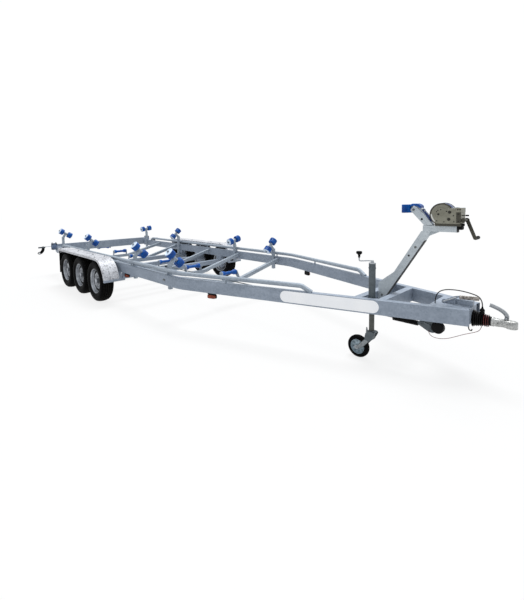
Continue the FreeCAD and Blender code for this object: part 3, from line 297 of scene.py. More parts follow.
def tyreFinish():
    # Rubber that is greyer and browner on the tread, where it has run and where the attribute is 1
    f = Finish("tyreRubber", Roughness=0.66, Specular_IOR_Level=0.06)
    worn = f.attribute("worn") * f.limit(f.noise(26, 4.0), 0.35, 0.7)
    f.set(Base_Color=f.mix(worn, f.blotches(7, 4.0, (1, 1, 2), (6, 6, 7)), (23, 21, 17)))
    f.bump(f.noise(240, 3.0), 0.0005)


def rimFinish(name, dark, light):
    # Silver lacquer, with painted shade inside the vent holes and in the creases, where the attribute is 1
    f = Finish(name, Metallic=0.35)
    body = f.blotches(12, 4.0, dark, light)
    f.set(Base_Color=f.mix(f.attribute("deep"), body, (15, 15, 17)), Roughness=f.noise(30) * 0.14 + 0.28)
    f.bump(f.noise(200, 2.0), 0.0003)


treadPlate = {
    "pitch": 0.034,
    "bendCentre": (0.06, 0.298),  # (x, z) of the guard's front bend
    "bendRadius": 0.34,
    "lozenge": (0.62, 0.17),  # half its length and width, in shares of the pitch
    "height": 0.0016,
    "dark": (163, 164, 170),
    "light": (198, 200, 205),
    "worn": (224, 224, 228),
    "grime": (105, 105, 109),
}


def plateFinish():
    # Tread plate: raised lozenges that lie crosswise by turns, on a grid that follows the guard's bend
    p = treadPlate
    f = Finish("treadPlate", Metallic=0.15)
    x, y, z = f.apart(f.place())
    bendX, bendZ = axleX + p["bendCentre"][0], p["bendCentre"][1]
    bent = f.maths("ARCTAN2", f.maths("MAXIMUM", x - bendX), z - bendZ) * p["bendRadius"]
    along, across = (bent + f.maths("MINIMUM", x, bendX)) / p["pitch"], y / p["pitch"]
    cellAlong, cellAcross = f.maths("FLOOR", along), f.maths("FLOOR", across)
    way = f.maths("PINGPONG", cellAlong + cellAcross, 1.0) * 2 - 1
    u, v = along - cellAlong - 0.5, across - cellAcross - 0.5
    far, near = u + v * way, v * way - u
    long, wide = p["lozenge"]
    raised = f.limit(1 - ((far / long) ** 2 + (near / wide) ** 2), 0.0, 0.45)
    slow = f.limit(f.noise(5, 5.0), 0.32, 0.68)
    grime = f.limit(f.noise(34, 3.0), 0.5, 0.66)
    base = f.mix(raised, f.mix(slow, p["dark"], p["light"]), p["worn"])
    f.set(Base_Color=f.mix(grime * 0.7, base, p["grime"]), Roughness=slow * 0.15 + 0.42)
    f.bump(raised, p["height"])


webbing = {"ribRate": 2200, "edgeFrom": 0.32, "edgeFull": 0.36}


def webbingFinish():
    # Woven polyester: fine ribs across the band with two pale edges, on the band's own map
    f = Finish("strapWebbing", Roughness=0.7)
    edge = f.limit(f.maths("ABSOLUTE", f.attribute("across") - 0.5), webbing["edgeFrom"], webbing["edgeFull"])
    base = f.blotches(40, 3.0, (41, 58, 112), (62, 82, 140))
    f.set(Base_Color=f.mix(edge, base, (196, 200, 208)))
    f.bump(f.maths("SINE", f.attribute("along") * webbing["ribRate"]), 0.0004)


rollerFinish()
tyreFinish()
rimFinish("rimSilver", (112, 116, 123), (185, 189, 195))
rimFinish("jockeyRimSteel", (119, 136, 146), (156, 172, 181))
plateFinish()
webbingFinish()
print("finishes mixed:", len(finishes))


# Shapes. Each returns (points, faces), and several go into one mesh.
def grid(points, closeAlong=False, closeAcross=False, endCaps=False):
    # A surface through an array of points, rows by columns, with its seams and ends closed on request
    rows, columns = points.shape[:2]
    i = np.arange(rows if closeAlong else rows - 1)[:, None]
    j = np.arange(columns if closeAcross else columns - 1)[None, :]
    a, b = i * columns + j, i * columns + (j + 1) % columns
    c, d = ((i + 1) % rows) * columns + (j + 1) % columns, ((i + 1) % rows) * columns + j
    faces = np.stack([a, b, c, d], -1).reshape(-1, 4).tolist()
    if endCaps:
        faces += [list(range(columns))[::-1], list(range((rows - 1) * columns, rows * columns))]
    return points.reshape(-1, 3), faces


def ahead(shapes):
    # Moves shapes whose X is counted from the front axle
    return [(points + [axleX, 0, 0], faces) for points, faces in shapes]


def axesOf(axis):
    # Three directions at right angles, the first along the axis
    first = np.array(axis, float) / np.linalg.norm(axis)
    second = np.cross(first, (0, 0, 1.0) if abs(first[2]) < 0.9 else (1.0, 0, 0))
    second = second / np.linalg.norm(second)
    return first, second, np.cross(first, second)


def turns(steps):
    # Angles of one full turn in even steps, without the last, which is the first again
    return np.arange(steps) / steps * fullTurn


def spun(profile, centre, axis, steps=48, closed=False):
    # A profile of (radius, place along the axis) turned once round the axis
    profile = np.array(profile, float)
    first, second, third = axesOf(axis)
    angle = turns(steps)
    ring = np.cos(angle)[:, None] * second + np.sin(angle)[:, None] * third
    points = np.array(centre, float) + profile[:, None, 1:] * first + profile[:, None, :1] * ring[None]
    return grid(points, closeAlong=closed, closeAcross=True)


def aboutY(radius, place, angle, centre, out=1):
    # Points at a radius and angle about an axle along Y, set out along it
    return np.stack([centre[0] + radius * np.cos(angle), centre[1] + out * place + 0 * angle,
                     centre[2] + radius * np.sin(angle)], -1)


def swept(path, section, up=(0, 0, 1)):
    # A section of (side, up) carried along a path, square to its direction
    path, section = np.array(path, float), np.array(section, float)
    forward = np.gradient(path, axis=0)
    forward /= np.linalg.norm(forward, axis=1)[:, None]
    side = np.cross(forward, np.array(up, float))
    side /= np.linalg.norm(side, axis=1)[:, None]
    rise = np.cross(side, forward)
    points = path[:, None] + section[None, :, :1] * side[:, None] + section[None, :, 1:] * rise[:, None]
    return grid(points, closeAcross=True, endCaps=True)


def arc(centre, radius, start, end, count):
    # Points of a circle from one angle to another
    angle = np.linspace(start, end, count)
    return np.stack([np.cos(angle), np.sin(angle)], -1) * radius + centre


def disc(radius, steps=12):
    angle = turns(steps)
    return np.stack([np.cos(angle), np.sin(angle)], -1) * radius


def rounded(width, tall, radius, steps=5):
    # The outline of a rectangle about the origin with rounded corners
    corners = ((1, 1), (-1, 1), (-1, -1), (1, -1))
    return np.vstack([arc(((width / 2 - radius) * sx, (tall / 2 - radius) * sy), radius, n * np.pi / 2,
                          (n + 1) * np.pi / 2, steps) for n, (sx, sy) in enumerate(corners)])


def slab(outline, flat, low, high):
    # A flat outline given thickness from low to high. Flat names the two axes that it lies in.
    outline = np.array(outline, float)
    order = {"xy": (0, 1, 2), "xz": (0, 2, 1), "yz": (1, 2, 0)}[flat]
    points = np.zeros((2, len(outline), 3))
    points[:, :, order[0]], points[:, :, order[1]] = outline[:, 0], outline[:, 1]
    points[0, :, order[2]], points[1, :, order[2]] = low, high
    return grid(points, closeAcross=True, endCaps=True)


def twins(outline, near, far, middle=0):
    # A plate on each side of a plane across Y, between two distances from that plane
    return [slab(outline, "xz", *sorted((middle + side * near, middle + side * far))) for side in (-1, 1)]


def brick(low, high):
    (a, b, c), (d, e, f) = low, high
    return slab([(a, b), (d, b), (d, e), (a, e)], "xy", c, f)


def pillow(centre, size, lean=0.0, power=5.0, steps=28):
    # A softly boxed body: a ball whose radius follows a superellipse, stretched to a size and turned about Z
    u = np.linspace(-np.pi / 2, np.pi / 2, steps // 2 + 1)[:, None]
    v = turns(steps)[None]
    ball = np.stack([np.cos(u) * np.cos(v), np.cos(u) * np.sin(v), np.sin(u) + 0 * v], -1)
    ball /= (np.abs(ball) ** power).sum(-1, keepdims=True) ** (1 / power)
    ball = ball * np.array(size) / 2
    turned = np.array([[math.cos(lean), math.sin(lean), 0], [-math.sin(lean), math.cos(lean), 0], [0, 0, 1]])
    return grid(ball @ turned + np.array(centre), closeAcross=True)


def smoothLine(points, count):
    # A Catmull-Rom curve through the points, at evenly spaced values of its parameter
    points = np.array(points, float)
    padded = np.vstack([2 * points[0] - points[1], points, 2 * points[-1] - points[-2]])
    t = np.linspace(0, len(points) - 1, count)
    k = np.minimum(t.astype(int), len(points) - 2)
    f = (t - k)[:, None]
    a, b, c, d = (padded[k + n] for n in range(4))
    return 0.5 * (2 * b + (c - a) * f + (2 * a - 5 * b + 4 * c - d) * f**2 + (3 * b - a - 3 * c + d) * f**3)


def standing(line, y):
    # A line of (x, z) places in the upright plane at y
    line = np.array(line, float)
    return np.stack([line[:, 0], np.full(len(line), y), line[:, 1]], -1)


def bentRod(line, count, y, radius, steps=12):
    # Round bar along a smooth line of (x, z) places in the plane at y
    return swept(standing(smoothLine(line, count), y), disc(radius, steps), up=(0, 1, 0))


def mirrored(profile):
    # The same profile on the other side of the middle, in the order that goes on from the first half
    return [(r, -place) for r, place in profile[::-1]]


boltShares = {  # radius and height in shares of the bolt's size
    "washer": [(0, 0), (1.9, 0), (1.9, 0.25), (0, 0.25)],
    "head": [(0, 0.2), (1.15, 0.2), (1.15, 0.85), (0.95, 1), (0, 1)],
    "stud": [(0, 1), (0.5, 1), (0.5, 1.4), (0.4, 1.5), (0, 1.5)],
}


def bolt(place, axis, size=0.008):
    # A washer, a six-sided head with a worn top edge, and the thread's end
    return [spun(np.array(boltShares[part]) * size, place, axis, steps)
            for part, steps in (("washer", 16), ("head", 6), ("stud", 10))]


def bolts(places, axis, size=0.008):
    return [shape for place in places for shape in bolt(place, axis, size)]


def eyelet(place, axis, radius=0.008):
    # The sunk mouth of a hole, dark with painted shade, with its edge a hair proud of the sheet
    edge = [(0, 0.0002), (radius * 0.86, 0.0002), (radius * 0.94, 0.0008), (radius, 0.0006), (radius, -0.001),
            (0, -0.001)]
    return [spun(edge, place, axis, 18)]


def newPiece(name, shapes, finish, body="root", sharp=35, bevel=0, attributes=None, replaces=()):
    # Joins the shapes into one mesh, closes seams and poles, turns faces outward and sets the piece on its body
    points = np.vstack([p for p, _ in shapes])
    starts = np.cumsum([0] + [len(p) for p, _ in shapes[:-1]])
    faces = [[v + start for v in face] for start, (_, fs) in zip(starts.tolist(), shapes) for face in fs]
    mesh = bpy.data.meshes.new(name)
    mesh.from_pydata(points.tolist(), [], faces)
    for key, values in (attributes or {}).items():
        layer = mesh.attributes.new(key, "FLOAT", "POINT")
        layer.data.foreach_set("value", np.asarray(values, np.float32).ravel())
    work = bmesh.new()
    work.from_mesh(mesh)
    bmesh.ops.remove_doubles(work, verts=work.verts, dist=1e-6)
    bmesh.ops.recalc_face_normals(work, faces=work.faces)
    work.to_mesh(mesh)
    work.free()
    mesh.polygons.foreach_set("use_smooth", [True] * len(mesh.polygons))
    mesh.set_sharp_from_angle(angle=math.radians(sharp))
    piece = bpy.data.objects.new(name, mesh)
    scene.collection.objects.link(piece)
    mesh.materials.append(finishes[finish])
    if bevel:
        edge = piece.modifiers.new("softEdges", "BEVEL")
        edge.width, edge.segments, edge.limit_method = bevel, 2, "ANGLE"
        edge.angle_limit, edge.harden_normals = math.radians(40), True
    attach(piece, body)
    if replaces:
        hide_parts(*replaces)
    return piece


# Cords, as smooth lines through the routes of the part
electricCable = {
    "route": [
        (4.135, -0.098, 0.56), (4.135, -0.098, 0.622), (4.178, -0.092, 0.672), (4.262, -0.075, 0.684),
        (4.352, -0.05, 0.672), (4.437, -0.022, 0.64), (4.437, -0.022, 0.573),
    ],
    "diameter": 0.008,
    "length": 0.457,
}
breakawayCable = {
    "route": [
        (4.12, -0.164, 0.35), (4.12, -0.195, 0.35), (4.15, -0.212, 0.322), (4.202, -0.198, 0.314),
        (4.254, -0.176, 0.324), (4.303, -0.15, 0.346), (4.35, -0.12, 0.368), (4.398, -0.092, 0.384),
        (4.44, -0.066, 0.404), (4.44, -0.03394, 0.43606),
    ],
    "diameter": 0.004,
    "length": 0.454,
}


def cordCurve(name, setup, finish, node):
    curve = bpy.data.curves.new(name, "CURVE")
    curve.dimensions, curve.bevel_depth, curve.bevel_resolution = "3D", setup["diameter"] / 2, 4
    curve.resolution_u, curve.use_fill_caps = 10, True
    line = curve.splines.new("NURBS")
    line.points.add(len(setup["route"]) - 1)
    flat = np.array([(*spot(*p), 1) for p in setup["route"]])
    line.points.foreach_set("co", flat.ravel())
    line.order_u, line.use_endpoint_u = 3, True
    curve.materials.append(finishes[finish])
    piece = bpy.data.objects.new(name, curve)
    scene.collection.objects.link(piece)
    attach(piece, "root")
    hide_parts(node)
    return piece


plugShape = {"ribs": 12, "ribHeight": 0.04, "ribsFrom": 0.42, "ribsTo": 0.62, "capEdge": 0.74, "neck": 0.0065}


def makePlug():
    # Profile of (radius, height) from the cable down, whose radius swells and shrinks over the gripped part
    p = plugShape
    low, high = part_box("cable_plug")
    centre = ((low.x + high.x) / 2, (low.y + high.y) / 2, low.z)
    radius, tall = (high.x - low.x) / 2, high.z - low.z
    body = [(0, tall), (0.006, tall), (p["neck"], tall * 0.82), (0.011, tall * p["capEdge"]),
            (radius * 0.86, tall * 0.66), (radius, tall * 0.6), (radius, tall * 0.42), (radius * 0.93, tall * 0.4),
            (radius * 0.93, tall * 0.3), (radius, tall * 0.28), (radius, 0.004), (radius - 0.003, 0),
            (radius * 0.7, 0), (radius * 0.7, 0.006), (0, 0.006)]
    angle = turns(36)
    profile = np.array(body)
    gripped = (profile[:, 1:] > tall * p["ribsFrom"]) & (profile[:, 1:] < tall * p["ribsTo"])
    reach = profile[:, :1] * (1 + p["ribHeight"] * np.cos(angle * p["ribs"]) * gripped)
    points = np.stack([reach * np.cos(angle), reach * np.sin(angle), profile[:, 1:] + 0 * angle], -1) + centre
    return newPiece("electricPlug", [grid(points, closeAcross=True)], "blackPlastic",
                    replaces=["cable_plug"])


coil = {"turns": 2.6, "radius": 0.0445, "swing": 0.0015, "from": 4.446, "rise": 0.0021, "height": 0.47}


def breakawayCoil():
    # The thin cable's last turns round the front of the bellows, closing up to the front
    angle = np.linspace(0, coil["turns"] * fullTurn, 90)
    radius = coil["radius"] + coil["swing"] * np.sin(angle * 0.7)
    path = np.stack([coil["from"] + angle * coil["rise"], radius * np.cos(angle + 0.6),
                     coil["height"] + radius * np.sin(angle + 0.6)], -1)
    newPiece("breakawayCoil", ahead([swept(path, disc(0.0018, 8), up=(1, 0, 0))]), "redCable",
             sharp=60)


def makeCords():
    cable = cordCurve("electricCable", electricCable, "blackCable", "electric_cable")
    plug = makePlug()
    thin = cordCurve("breakawayCable", breakawayCable, "redCable", "breakaway_cable")
    breakawayCoil()


makeCords()
print("cords laid")

# Finishes of the CAD nodes: those named here, and for the rest the first word that is in the node's name
nodeFinishes = {
    "galvanisedSteel": "main_rails rear_crossbeam front_crossmembers axles mudguard_arms coupling_housing",
    "galvanisedTube": "chord_rails keel_crossmembers side_roller_posts",
    "postSteel": "winch_post",
    "treadPlate": "mudguards",
    "flapRubber": "mud_flaps marker_arms",
    "winchZinc": "winch_frame",
    "castHead": "winch_drum coupling_lever coupling_head",
    "darkSteel": "winch_crank",
    "jockeyZinc": "jockey_outer_tube jockey_fork brake_linkage",
    "innerTubeSteel": "jockey_inner_tube",
    "boltZinc": "jockey_crank",
    "bellowsRubber": "bellows",
    "blackPlastic": "brake_spring",
    "gripRubber": "handbrake_lever",
    "rollerBlue": "bow_block",
    "redLens": "rear_lamps",
    "amberLens": "side_markers",
}
wordFinishes = {"tyre": "tyreRubber", "rim": "rimSilver", "roller": "rollerBlue", "cable": "blackCable"}
finishOf = {name: finish for finish, names in nodeFinishes.items() for name in names.split()}
for nodeName, node in frame["nodes"].items():
    finish = finishOf.get(nodeName) or next(f for word, f in wordFinishes.items() if word in nodeName)
    if not node.material_slots:
        node.data.materials.append(None)
    for held in node.material_slots:
        held.link = "OBJECT"
        held.material = finishes[finish]
print("CAD nodes finished")

# Road wheels. Profiles of the tyre are (place across, radius) and of the rim (radius, place outward).
wheelShape = {
    "sidewall": [(0.06, 0.17), (0.076, 0.178), (0.08, 0.189), (0.0865, 0.205), (0.0922, 0.23), (0.09, 0.254),
                 (0.0825, 0.271), (0.0725, 0.2815)],
    "crownRadius": 0.298,
    "crownPower": 2.2,
    "treadHalf": 0.066,
    "treadEdge": 0.004,
    "shoulderRadius": 0.2865,
    "shoulderFrom": (0.044, 0.272),  # place across and radius where the cuts between lugs begin
    "shoulderFade": (0.004, 0.012),
    "grooves": (-0.042, -0.0145, 0.0145, 0.042),
    "grooveHalf": 0.0045,
    "grooveFloor": 0.7,
    "grooveDepth": 0.0075,
    "lugs": 44,
    "lugEdges": (0.0, 0.62, 0.7, 0.92),  # ends of a lug's top and of the cut's floor, in shares of a step
    "lugTwist": 0.05,
    "lugTwistPower": 1.4,
    "innerCut": 0.4,
    "rimFront": [
        (0.02, 0.06), (0.026, 0.063), (0.03, 0.06), (0.0325, 0.052), (0.0335, 0.03), (0.04, 0.027),
        (0.046, 0.0235), (0.068, 0.0225), (0.08, 0.026), (0.094, 0.036), (0.104, 0.0405), (0.116, 0.0385),
        (0.128, 0.028), (0.138, 0.012), (0.1445, 0.002), (0.1452, 0.018), (0.149, 0.03), (0.156, 0.037),
        (0.16, 0.052), (0.163, 0.064), (0.1685, 0.071), (0.175, 0.0735), (0.18, 0.0765), (0.1835, 0.0768),
    ],
    "rimCap": [(0, 0.058), (0.012, 0.0585)],
    "rimBack": [
        (0.184, 0.0735), (0.18, 0.072), (0.168, 0.062), (0.166, 0.037), (0.151, 0.026), (0.151, -0.026),
        (0.166, -0.037), (0.168, -0.068), (0.18, -0.0745), (0.184, -0.0765), (0.182, -0.079), (0.176, -0.078),
        (0.162, -0.068), (0.16, -0.04), (0.146, -0.028), (0.144, -0.008), (0.13, 0.008), (0.114, 0.02),
        (0.1125, 0.012), (0.112, -0.036), (0.108, -0.04), (0.0172, -0.04), (0.0172, -0.001), (0, -0.001),
    ],
    "vents": 10,
    "ventCircle": 0.121,
    "ventHalf": (0.013, 0.025),  # along the radius and round the rim
    "ventReach": (0.1, 0.14),
    "ventFade": (0.75, 1.25),  # squared distances from the vent's middle where the dent starts to rise and ends
    "ventDepth": 0.012,
    "shadedCreases": [  # painted shade rings: radius, half-width, strength in the middle before the cut at 1, and share
        (0.1425, 0.0125, 1.3, 1), (0.037, 0.009, 1, 0.7), (0.176, 0.006, 1, 0.5), (0.088, 0.012, 1, 0.3),
    ],
    "bolts": 5,
    "boltCircle": 0.057,
    "boltSeat": 0.0195,  # place along the axle
    "boltSize": 0.0095,
    "seatDepth": 0.003,
    "seatHalf": (0.01, 0.16),  # along the radius, and in shares of the way from bolt to bolt
}


def tyreMesh(centre, out):
    # Radius is a function of place across the tyre and angle: the sidewall's curve, then the crown less the
    # grooves round it and, at the shoulders, the cuts between lugs, which slant with the distance from the middle
    w = wheelShape
    side = smoothLine(w["sidewall"], 22)
    edge, half = w["treadHalf"], w["grooveHalf"]
    steps = np.array([-half, -half * w["grooveFloor"], half * w["grooveFloor"], half])
    grooves = (np.array(w["grooves"])[:, None] + steps).ravel()
    tread = np.concatenate([[-edge, -edge + w["treadEdge"]], grooves, [edge - w["treadEdge"], edge]])
    depth = np.array([0, 0] + [0, 1, 1, 0] * len(w["grooves"]) + [0, 0], float)
    crown = w["crownRadius"] - (w["crownRadius"] - w["shoulderRadius"]) * (np.abs(tread) / edge) ** w["crownPower"]
    none = np.zeros(len(side))
    across = np.concatenate([-side[:, 0], tread, side[::-1, 0]])[:, None]
    radius = np.concatenate([side[:, 1], crown, side[::-1, 1]])[:, None]
    isTread = np.concatenate([none, np.ones(len(tread)), none])[:, None]
    cutDepth = np.concatenate([none, depth, none])[:, None]
    (fromAcross, fromRadius), (fadeAcross, fadeRadius) = w["shoulderFrom"], w["shoulderFade"]
    shoulder = np.clip((np.abs(across) - fromAcross) / fadeAcross, 0, 1)
    shoulder = shoulder * np.clip((radius - fromRadius) / fadeRadius, 0, 1)
    inner = isTread * (1 - shoulder) * (1 - cutDepth) * w["innerCut"]
    angle = ((np.arange(w["lugs"])[:, None] + w["lugEdges"]) / w["lugs"] * fullTurn).ravel()
    isCut = np.tile([0.0, 0.0, 1.0, 1.0], w["lugs"])
    turned = angle + w["lugTwist"] * np.sign(across) * (np.abs(across) / edge) ** w["lugTwistPower"]
    drop = np.maximum(cutDepth, np.maximum(shoulder, inner) * isCut) * w["grooveDepth"]
    worn = np.clip(isTread - drop / w["grooveDepth"], 0, 1)
    return grid(aboutY(radius - drop, across, turned, centre, out), closeAlong=True, closeAcross=True), worn


def rimMesh(centre, out):
    # A pressed disc in a rolled barrel. Place along the axle is a function of radius and angle: the profile, less
    # dents round the vent holes and bolts. Painted shade is 1 inside a vent hole, and less in the creases.
    w = wheelShape
    front = np.vstack([w["rimCap"], smoothLine(w["rimFront"], 70)])
    profile = np.vstack([front, w["rimBack"]])
    angle = turns(168)
    r, place = profile[:, :1] + 0 * angle, profile[:, 1:]
    isFront = (np.arange(len(profile)) < len(front))[:, None]
    circle, (halfRadial, halfRound) = w["ventCircle"], w["ventHalf"]
    phase = (angle * w["vents"] / fullTurn) % 1 - 0.5
    near = ((r - circle) / halfRadial) ** 2 + (phase * fullTurn / w["vents"] * circle / halfRound) ** 2
    (rising, flat), (ventFrom, ventTo) = w["ventFade"], w["ventReach"]
    deep = np.clip((flat - near) / (flat - rising), 0, 1) * isFront * (r > ventFrom) * (r < ventTo)
    creaseShade = sum(np.clip(top - ((r - at) / half) ** 2, 0, 1) * share for at, half, top, share in w["shadedCreases"])
    seatRadial, seatRound = w["seatHalf"]
    dish = np.clip(1 - ((r - w["boltCircle"]) / seatRadial) ** 2, 0, 1) * isFront
    stud = np.clip(1 - (((angle * w["bolts"] / fullTurn) % 1 - 0.5) / seatRound) ** 2, 0, 1)
    place = place - deep * w["ventDepth"] - dish * stud * w["seatDepth"]
    return grid(aboutY(r, place, angle, centre, out), closeAcross=True), np.maximum(deep, creaseShade * isFront)


def makeWheels():
    w = wheelShape
    studTurns = (np.arange(w["bolts"]) + 0.5) / w["bolts"] * fullTurn
    for word, out in (("right", -1), ("left", 1)):
        for number in (1, 2, 3):
            low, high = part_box(f"tyre_{word}_{number}")
            centre = np.array((low + high) / 2)
            body, ending = f"wheel_{word}_{number}", f"{word.title()}{number}"
            shape, worn = tyreMesh(centre, out)
            newPiece(f"tyre{ending}", [shape], "tyreRubber", body, 40, attributes={"worn": worn},
                     replaces=[f"tyre_{word}_{number}"])
            shape, deep = rimMesh(centre, out)
            newPiece(f"rim{ending}", [shape], "rimSilver", body, 30, attributes={"deep": deep},
                     replaces=[f"rim_{word}_{number}"])
            studs = aboutY(w["boltCircle"], w["boltSeat"], studTurns, centre, out)
            newPiece(f"wheelBolts{ending}", bolts(studs, (0, out, 0), w["boltSize"]), "boltZinc", body)


makeWheels()
print("wheels turned")

# Keel rollers. Profiles are (radius, place along the shaft), some of them counted from the roller's own size.
keelRoller = {
    "hub": [(0.0085, 0), (0.017, 0), (0.018, -0.003)],
    "rim": [(-0.01, -0.003), (-0.008, 0), (-0.003, 0), (0, -0.004), (0, -0.032), (-0.003, -0.042)],
    "neck": [(0.027, -0.058), (0.0235, -0.066), (0.022, -0.078)],
    "waistRadius": 0.022,
    "waistFrom": -0.084,
    "ribs": 15,
    "ribHeight": 0.0006,
    "highlightFace": 0.0035,
    "pale": 0.8,
}


def makeKeelRollers():
    k = keelRoller
    steps = 56
    for number in range(1, 7):
        low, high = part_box(f"keel_roller_{number}")
        half, radius = (high.y - low.y) / 2, (high.x - low.x) / 2
        side = [(r, half + y) for r, y in k["hub"]] + [(radius + r, half + y) for r, y in k["rim"]]
        side += [(r, half + y) for r, y in k["neck"]]
        waist = half + k["waistFrom"]
        ribs = [(k["waistRadius"] + k["ribHeight"] * (n % 2), y)
                for n, y in enumerate(np.linspace(waist, -waist, k["ribs"]))]
        profile = np.array(side + ribs + mirrored(side))
        # Painted highlight: the end faces are paled toward white
        pale = np.repeat((np.abs(profile[:, 1]) > half - k["highlightFace"]) * k["pale"], steps)
        shape = spun(profile, (low + high) / 2, (0, 1, 0), steps, closed=True)
        newPiece(f"keelRoller{number}", [shape], "rollerBlue", f"keel_roller_{number}", 28,
                 attributes={"pale": pale}, replaces=[f"keel_roller_{number}"])


# Pairs of side rollers. Profiles are (radius, place from the outer face inward, below 0).
sideRoller = {
    "reach": 0.082,  # from the pair's middle to the middle of each roller
    "half": 0.039,
    "face": [(0.0, 0.006), (0.014, 0.006), (0.015, 0.0), (0.022, -0.001), (0.024, -0.004), (0.04, -0.004),
             (0.043, 0.0), (0.048, 0.0), (0.0525, -0.002), (0.0555, -0.006), (0.056, -0.011)],
    "treadRadius": 0.056,
    "treadFrom": -0.016,
    "treadTo": -0.062,
    "ribs": 17,
    "ribHeight": 0.0011,
    "inner": [(0.056, -0.067), (0.0555, -0.072), (0.0525, -0.076), (0.047, -0.078), (0.0125, -0.078)],
    "highlightDepth": -0.005,
    "highlightRadius": 0.054,
    "pale": 0.9,
    "shaft": [(0, -0.078), (0.0119, -0.078), (0.0119, 0.078), (0, 0.078)],
    "nutGap": 0.004,
    "nutSize": 0.009,
}


def makeSideRollers():
    s = sideRoller
    steps = 56
    joints = {j["child"]: j for j in frame["joints"]}
    ribs = [(s["treadRadius"] - s["ribHeight"] * (n % 2), p)
            for n, p in enumerate(np.linspace(s["treadFrom"], s["treadTo"], s["ribs"]))]
    profile = np.array(s["face"] + ribs + s["inner"] + [(0, -2 * s["half"])])
    # Painted highlight: the outer end faces are paled toward white
    isEndHighlight = (profile[:, 1] > s["highlightDepth"]) & (profile[:, 0] < s["highlightRadius"])
    pale = np.tile(np.repeat(isEndHighlight * s["pale"], steps), 2)
    ends = s["reach"] + s["half"]
    for word in ("right", "left"):
        for number in (1, 2, 3, 4):
            node, ending = f"side_rollers_{word}_{number}", f"{word.title()}{number}"
            centre, axis = np.array(joints[node]["pos_m"]), np.array(joints[node]["axis"])
            shapes = [spun([(r, way * (ends + p)) for r, p in profile], centre, axis, steps) for way in (-1, 1)]
            newPiece(f"sideRollers{ending}", shapes, "rollerBlue", node, 28,
                     attributes={"pale": pale}, replaces=[node])
            shaft = [spun(s["shaft"], centre, axis, 24)]
            for way in (-1, 1):
                shaft += bolt(centre + axis * way * (ends + s["nutGap"]), axis * way, s["nutSize"])
            newPiece(f"sideShaft{ending}", shaft, "boltZinc", node)


makeKeelRollers()
makeSideRollers()
print("rollers turned")

# Hitch
bellows = {
    "from": 4.375,
    "to": 4.495,
    "height": 0.47,
    "rearLip": [(0, 0), (0.063, 0), (0.064, 0.004)],  # (radius, place from the rear end)
    "frontLip": [(0.034, -0.008), (0.034, 0), (0, 0)],
    "foldsFrom": 0.006,
    "foldsTo": -0.01,
    "radius": 0.06,
    "taper": 0.022,
    "folds": 8,
    "foldDepth": 0.013,
    "foldPower": 1.3,
}


def makeBellows():
    # The radius swings between ridge and valley and shrinks to the front
    b = bellows
    start, end = b["from"], b["to"]
    t = np.linspace(0, 1, 91)
    ridge = np.abs(np.sin(t * np.pi * b["folds"])) ** b["foldPower"]
    radius = b["radius"] - b["taper"] * t - b["foldDepth"] * (1 - ridge)
    places = np.linspace(start + b["foldsFrom"], end + b["foldsTo"], len(t))
    profile = [(r, start + x) for r, x in b["rearLip"]] + list(zip(radius, places))
    profile += [(r, end + x) for r, x in b["frontLip"]]
    newPiece("bellows", ahead([spun(profile, (0, 0, b["height"]), (1, 0, 0), 56)]), "bellowsRubber",
             sharp=50, replaces=["bellows"])


couplingHead = {
    "sections": [  # place along X, half-width, half-height, height of the middle
        (4.492, 0.03, 0.03, 0.47), (4.53, 0.03, 0.03, 0.47), (4.556, 0.0285, 0.029, 0.472),
        (4.58, 0.033, 0.0305, 0.4735), (4.606, 0.0365, 0.029, 0.474), (4.63, 0.034, 0.0275, 0.4745),
        (4.644, 0.024, 0.025, 0.4745), (4.649, 0.01, 0.021, 0.4745),
    ],
    "squareness": 0.86,
    "cup": [(0, 0.03), (0.012, 0.0285), (0.0215, 0.021), (0.0254, 0.012), (0.0254, 0.0015), (0.027, 0),
            (0.0345, 0), (0.0368, 0.003), (0.037, 0.026), (0.0362, 0.042), (0.031, 0.05), (0.022, 0.0535),
            (0, 0.0545)],
    "cupCentre": (4.613, 0, 0.4455),
    "collar": [(0, 4.494), (0.0335, 4.494), (0.0345, 4.496), (0.0345, 4.508), (0.0335, 4.51), (0, 4.51)],
    "bolts": (4.522, 4.548),
    "boltSide": 0.0295,
    "lever": [(4.581, 0.499), (4.584, 0.527), (4.568, 0.552), (4.538, 0.571), (4.505, 0.584), (4.478, 0.592)],
    "leverSection": [(-0.013, -0.008), (-0.013, 0.004), (-0.01, 0.0075), (0.01, 0.0075), (0.013, 0.004),
                     (0.013, -0.008), (0.0105, -0.008), (0.0105, 0.003), (-0.0105, 0.003), (-0.0105, -0.008)],
    "pivot": [(0, -0.017), (0.006, -0.017), (0.0075, -0.0155), (0.0075, 0.0155), (0.006, 0.017), (0, 0.017)],
    "pivotPlace": (4.582, 0, 0.512),
}


def makeCouplingHead():
    # Rounded sections from neck to nose, and the cup that sits over the ball
    h = couplingHead
    angle = turns(40)
    across, rise = (np.sign(v) * np.abs(v) ** h["squareness"] for v in (np.cos(angle), np.sin(angle)))
    x, half, tall, middle = smoothLine(h["sections"], 40).T[:, :, None]
    points = np.stack([x + 0 * across, half * across, middle + tall * rise], -1)
    height = bellows["height"]
    shapes = [grid(points, closeAcross=True, endCaps=True), spun(h["cup"], h["cupCentre"], (0, 0, 1), 44),
              spun(h["collar"], (0, 0, height), (1, 0, 0), 40)]
    for side in (-1, 1):
        shapes += bolts([(x, side * h["boltSide"], height) for x in h["bolts"]], (0, side, 0))
    newPiece("couplingHead", ahead(shapes), "castHead", replaces=["coupling_head"])
    # Lever: a pressed channel that curves up and back, with its pivot
    lever = [swept(standing(smoothLine(h["lever"], 44), 0), h["leverSection"], up=(0, 1, 0)),
             spun(h["pivot"], h["pivotPlace"], (0, 1, 0), 24)]
    newPiece("couplingLever", ahead(lever), "brightZinc", replaces=["coupling_lever"])


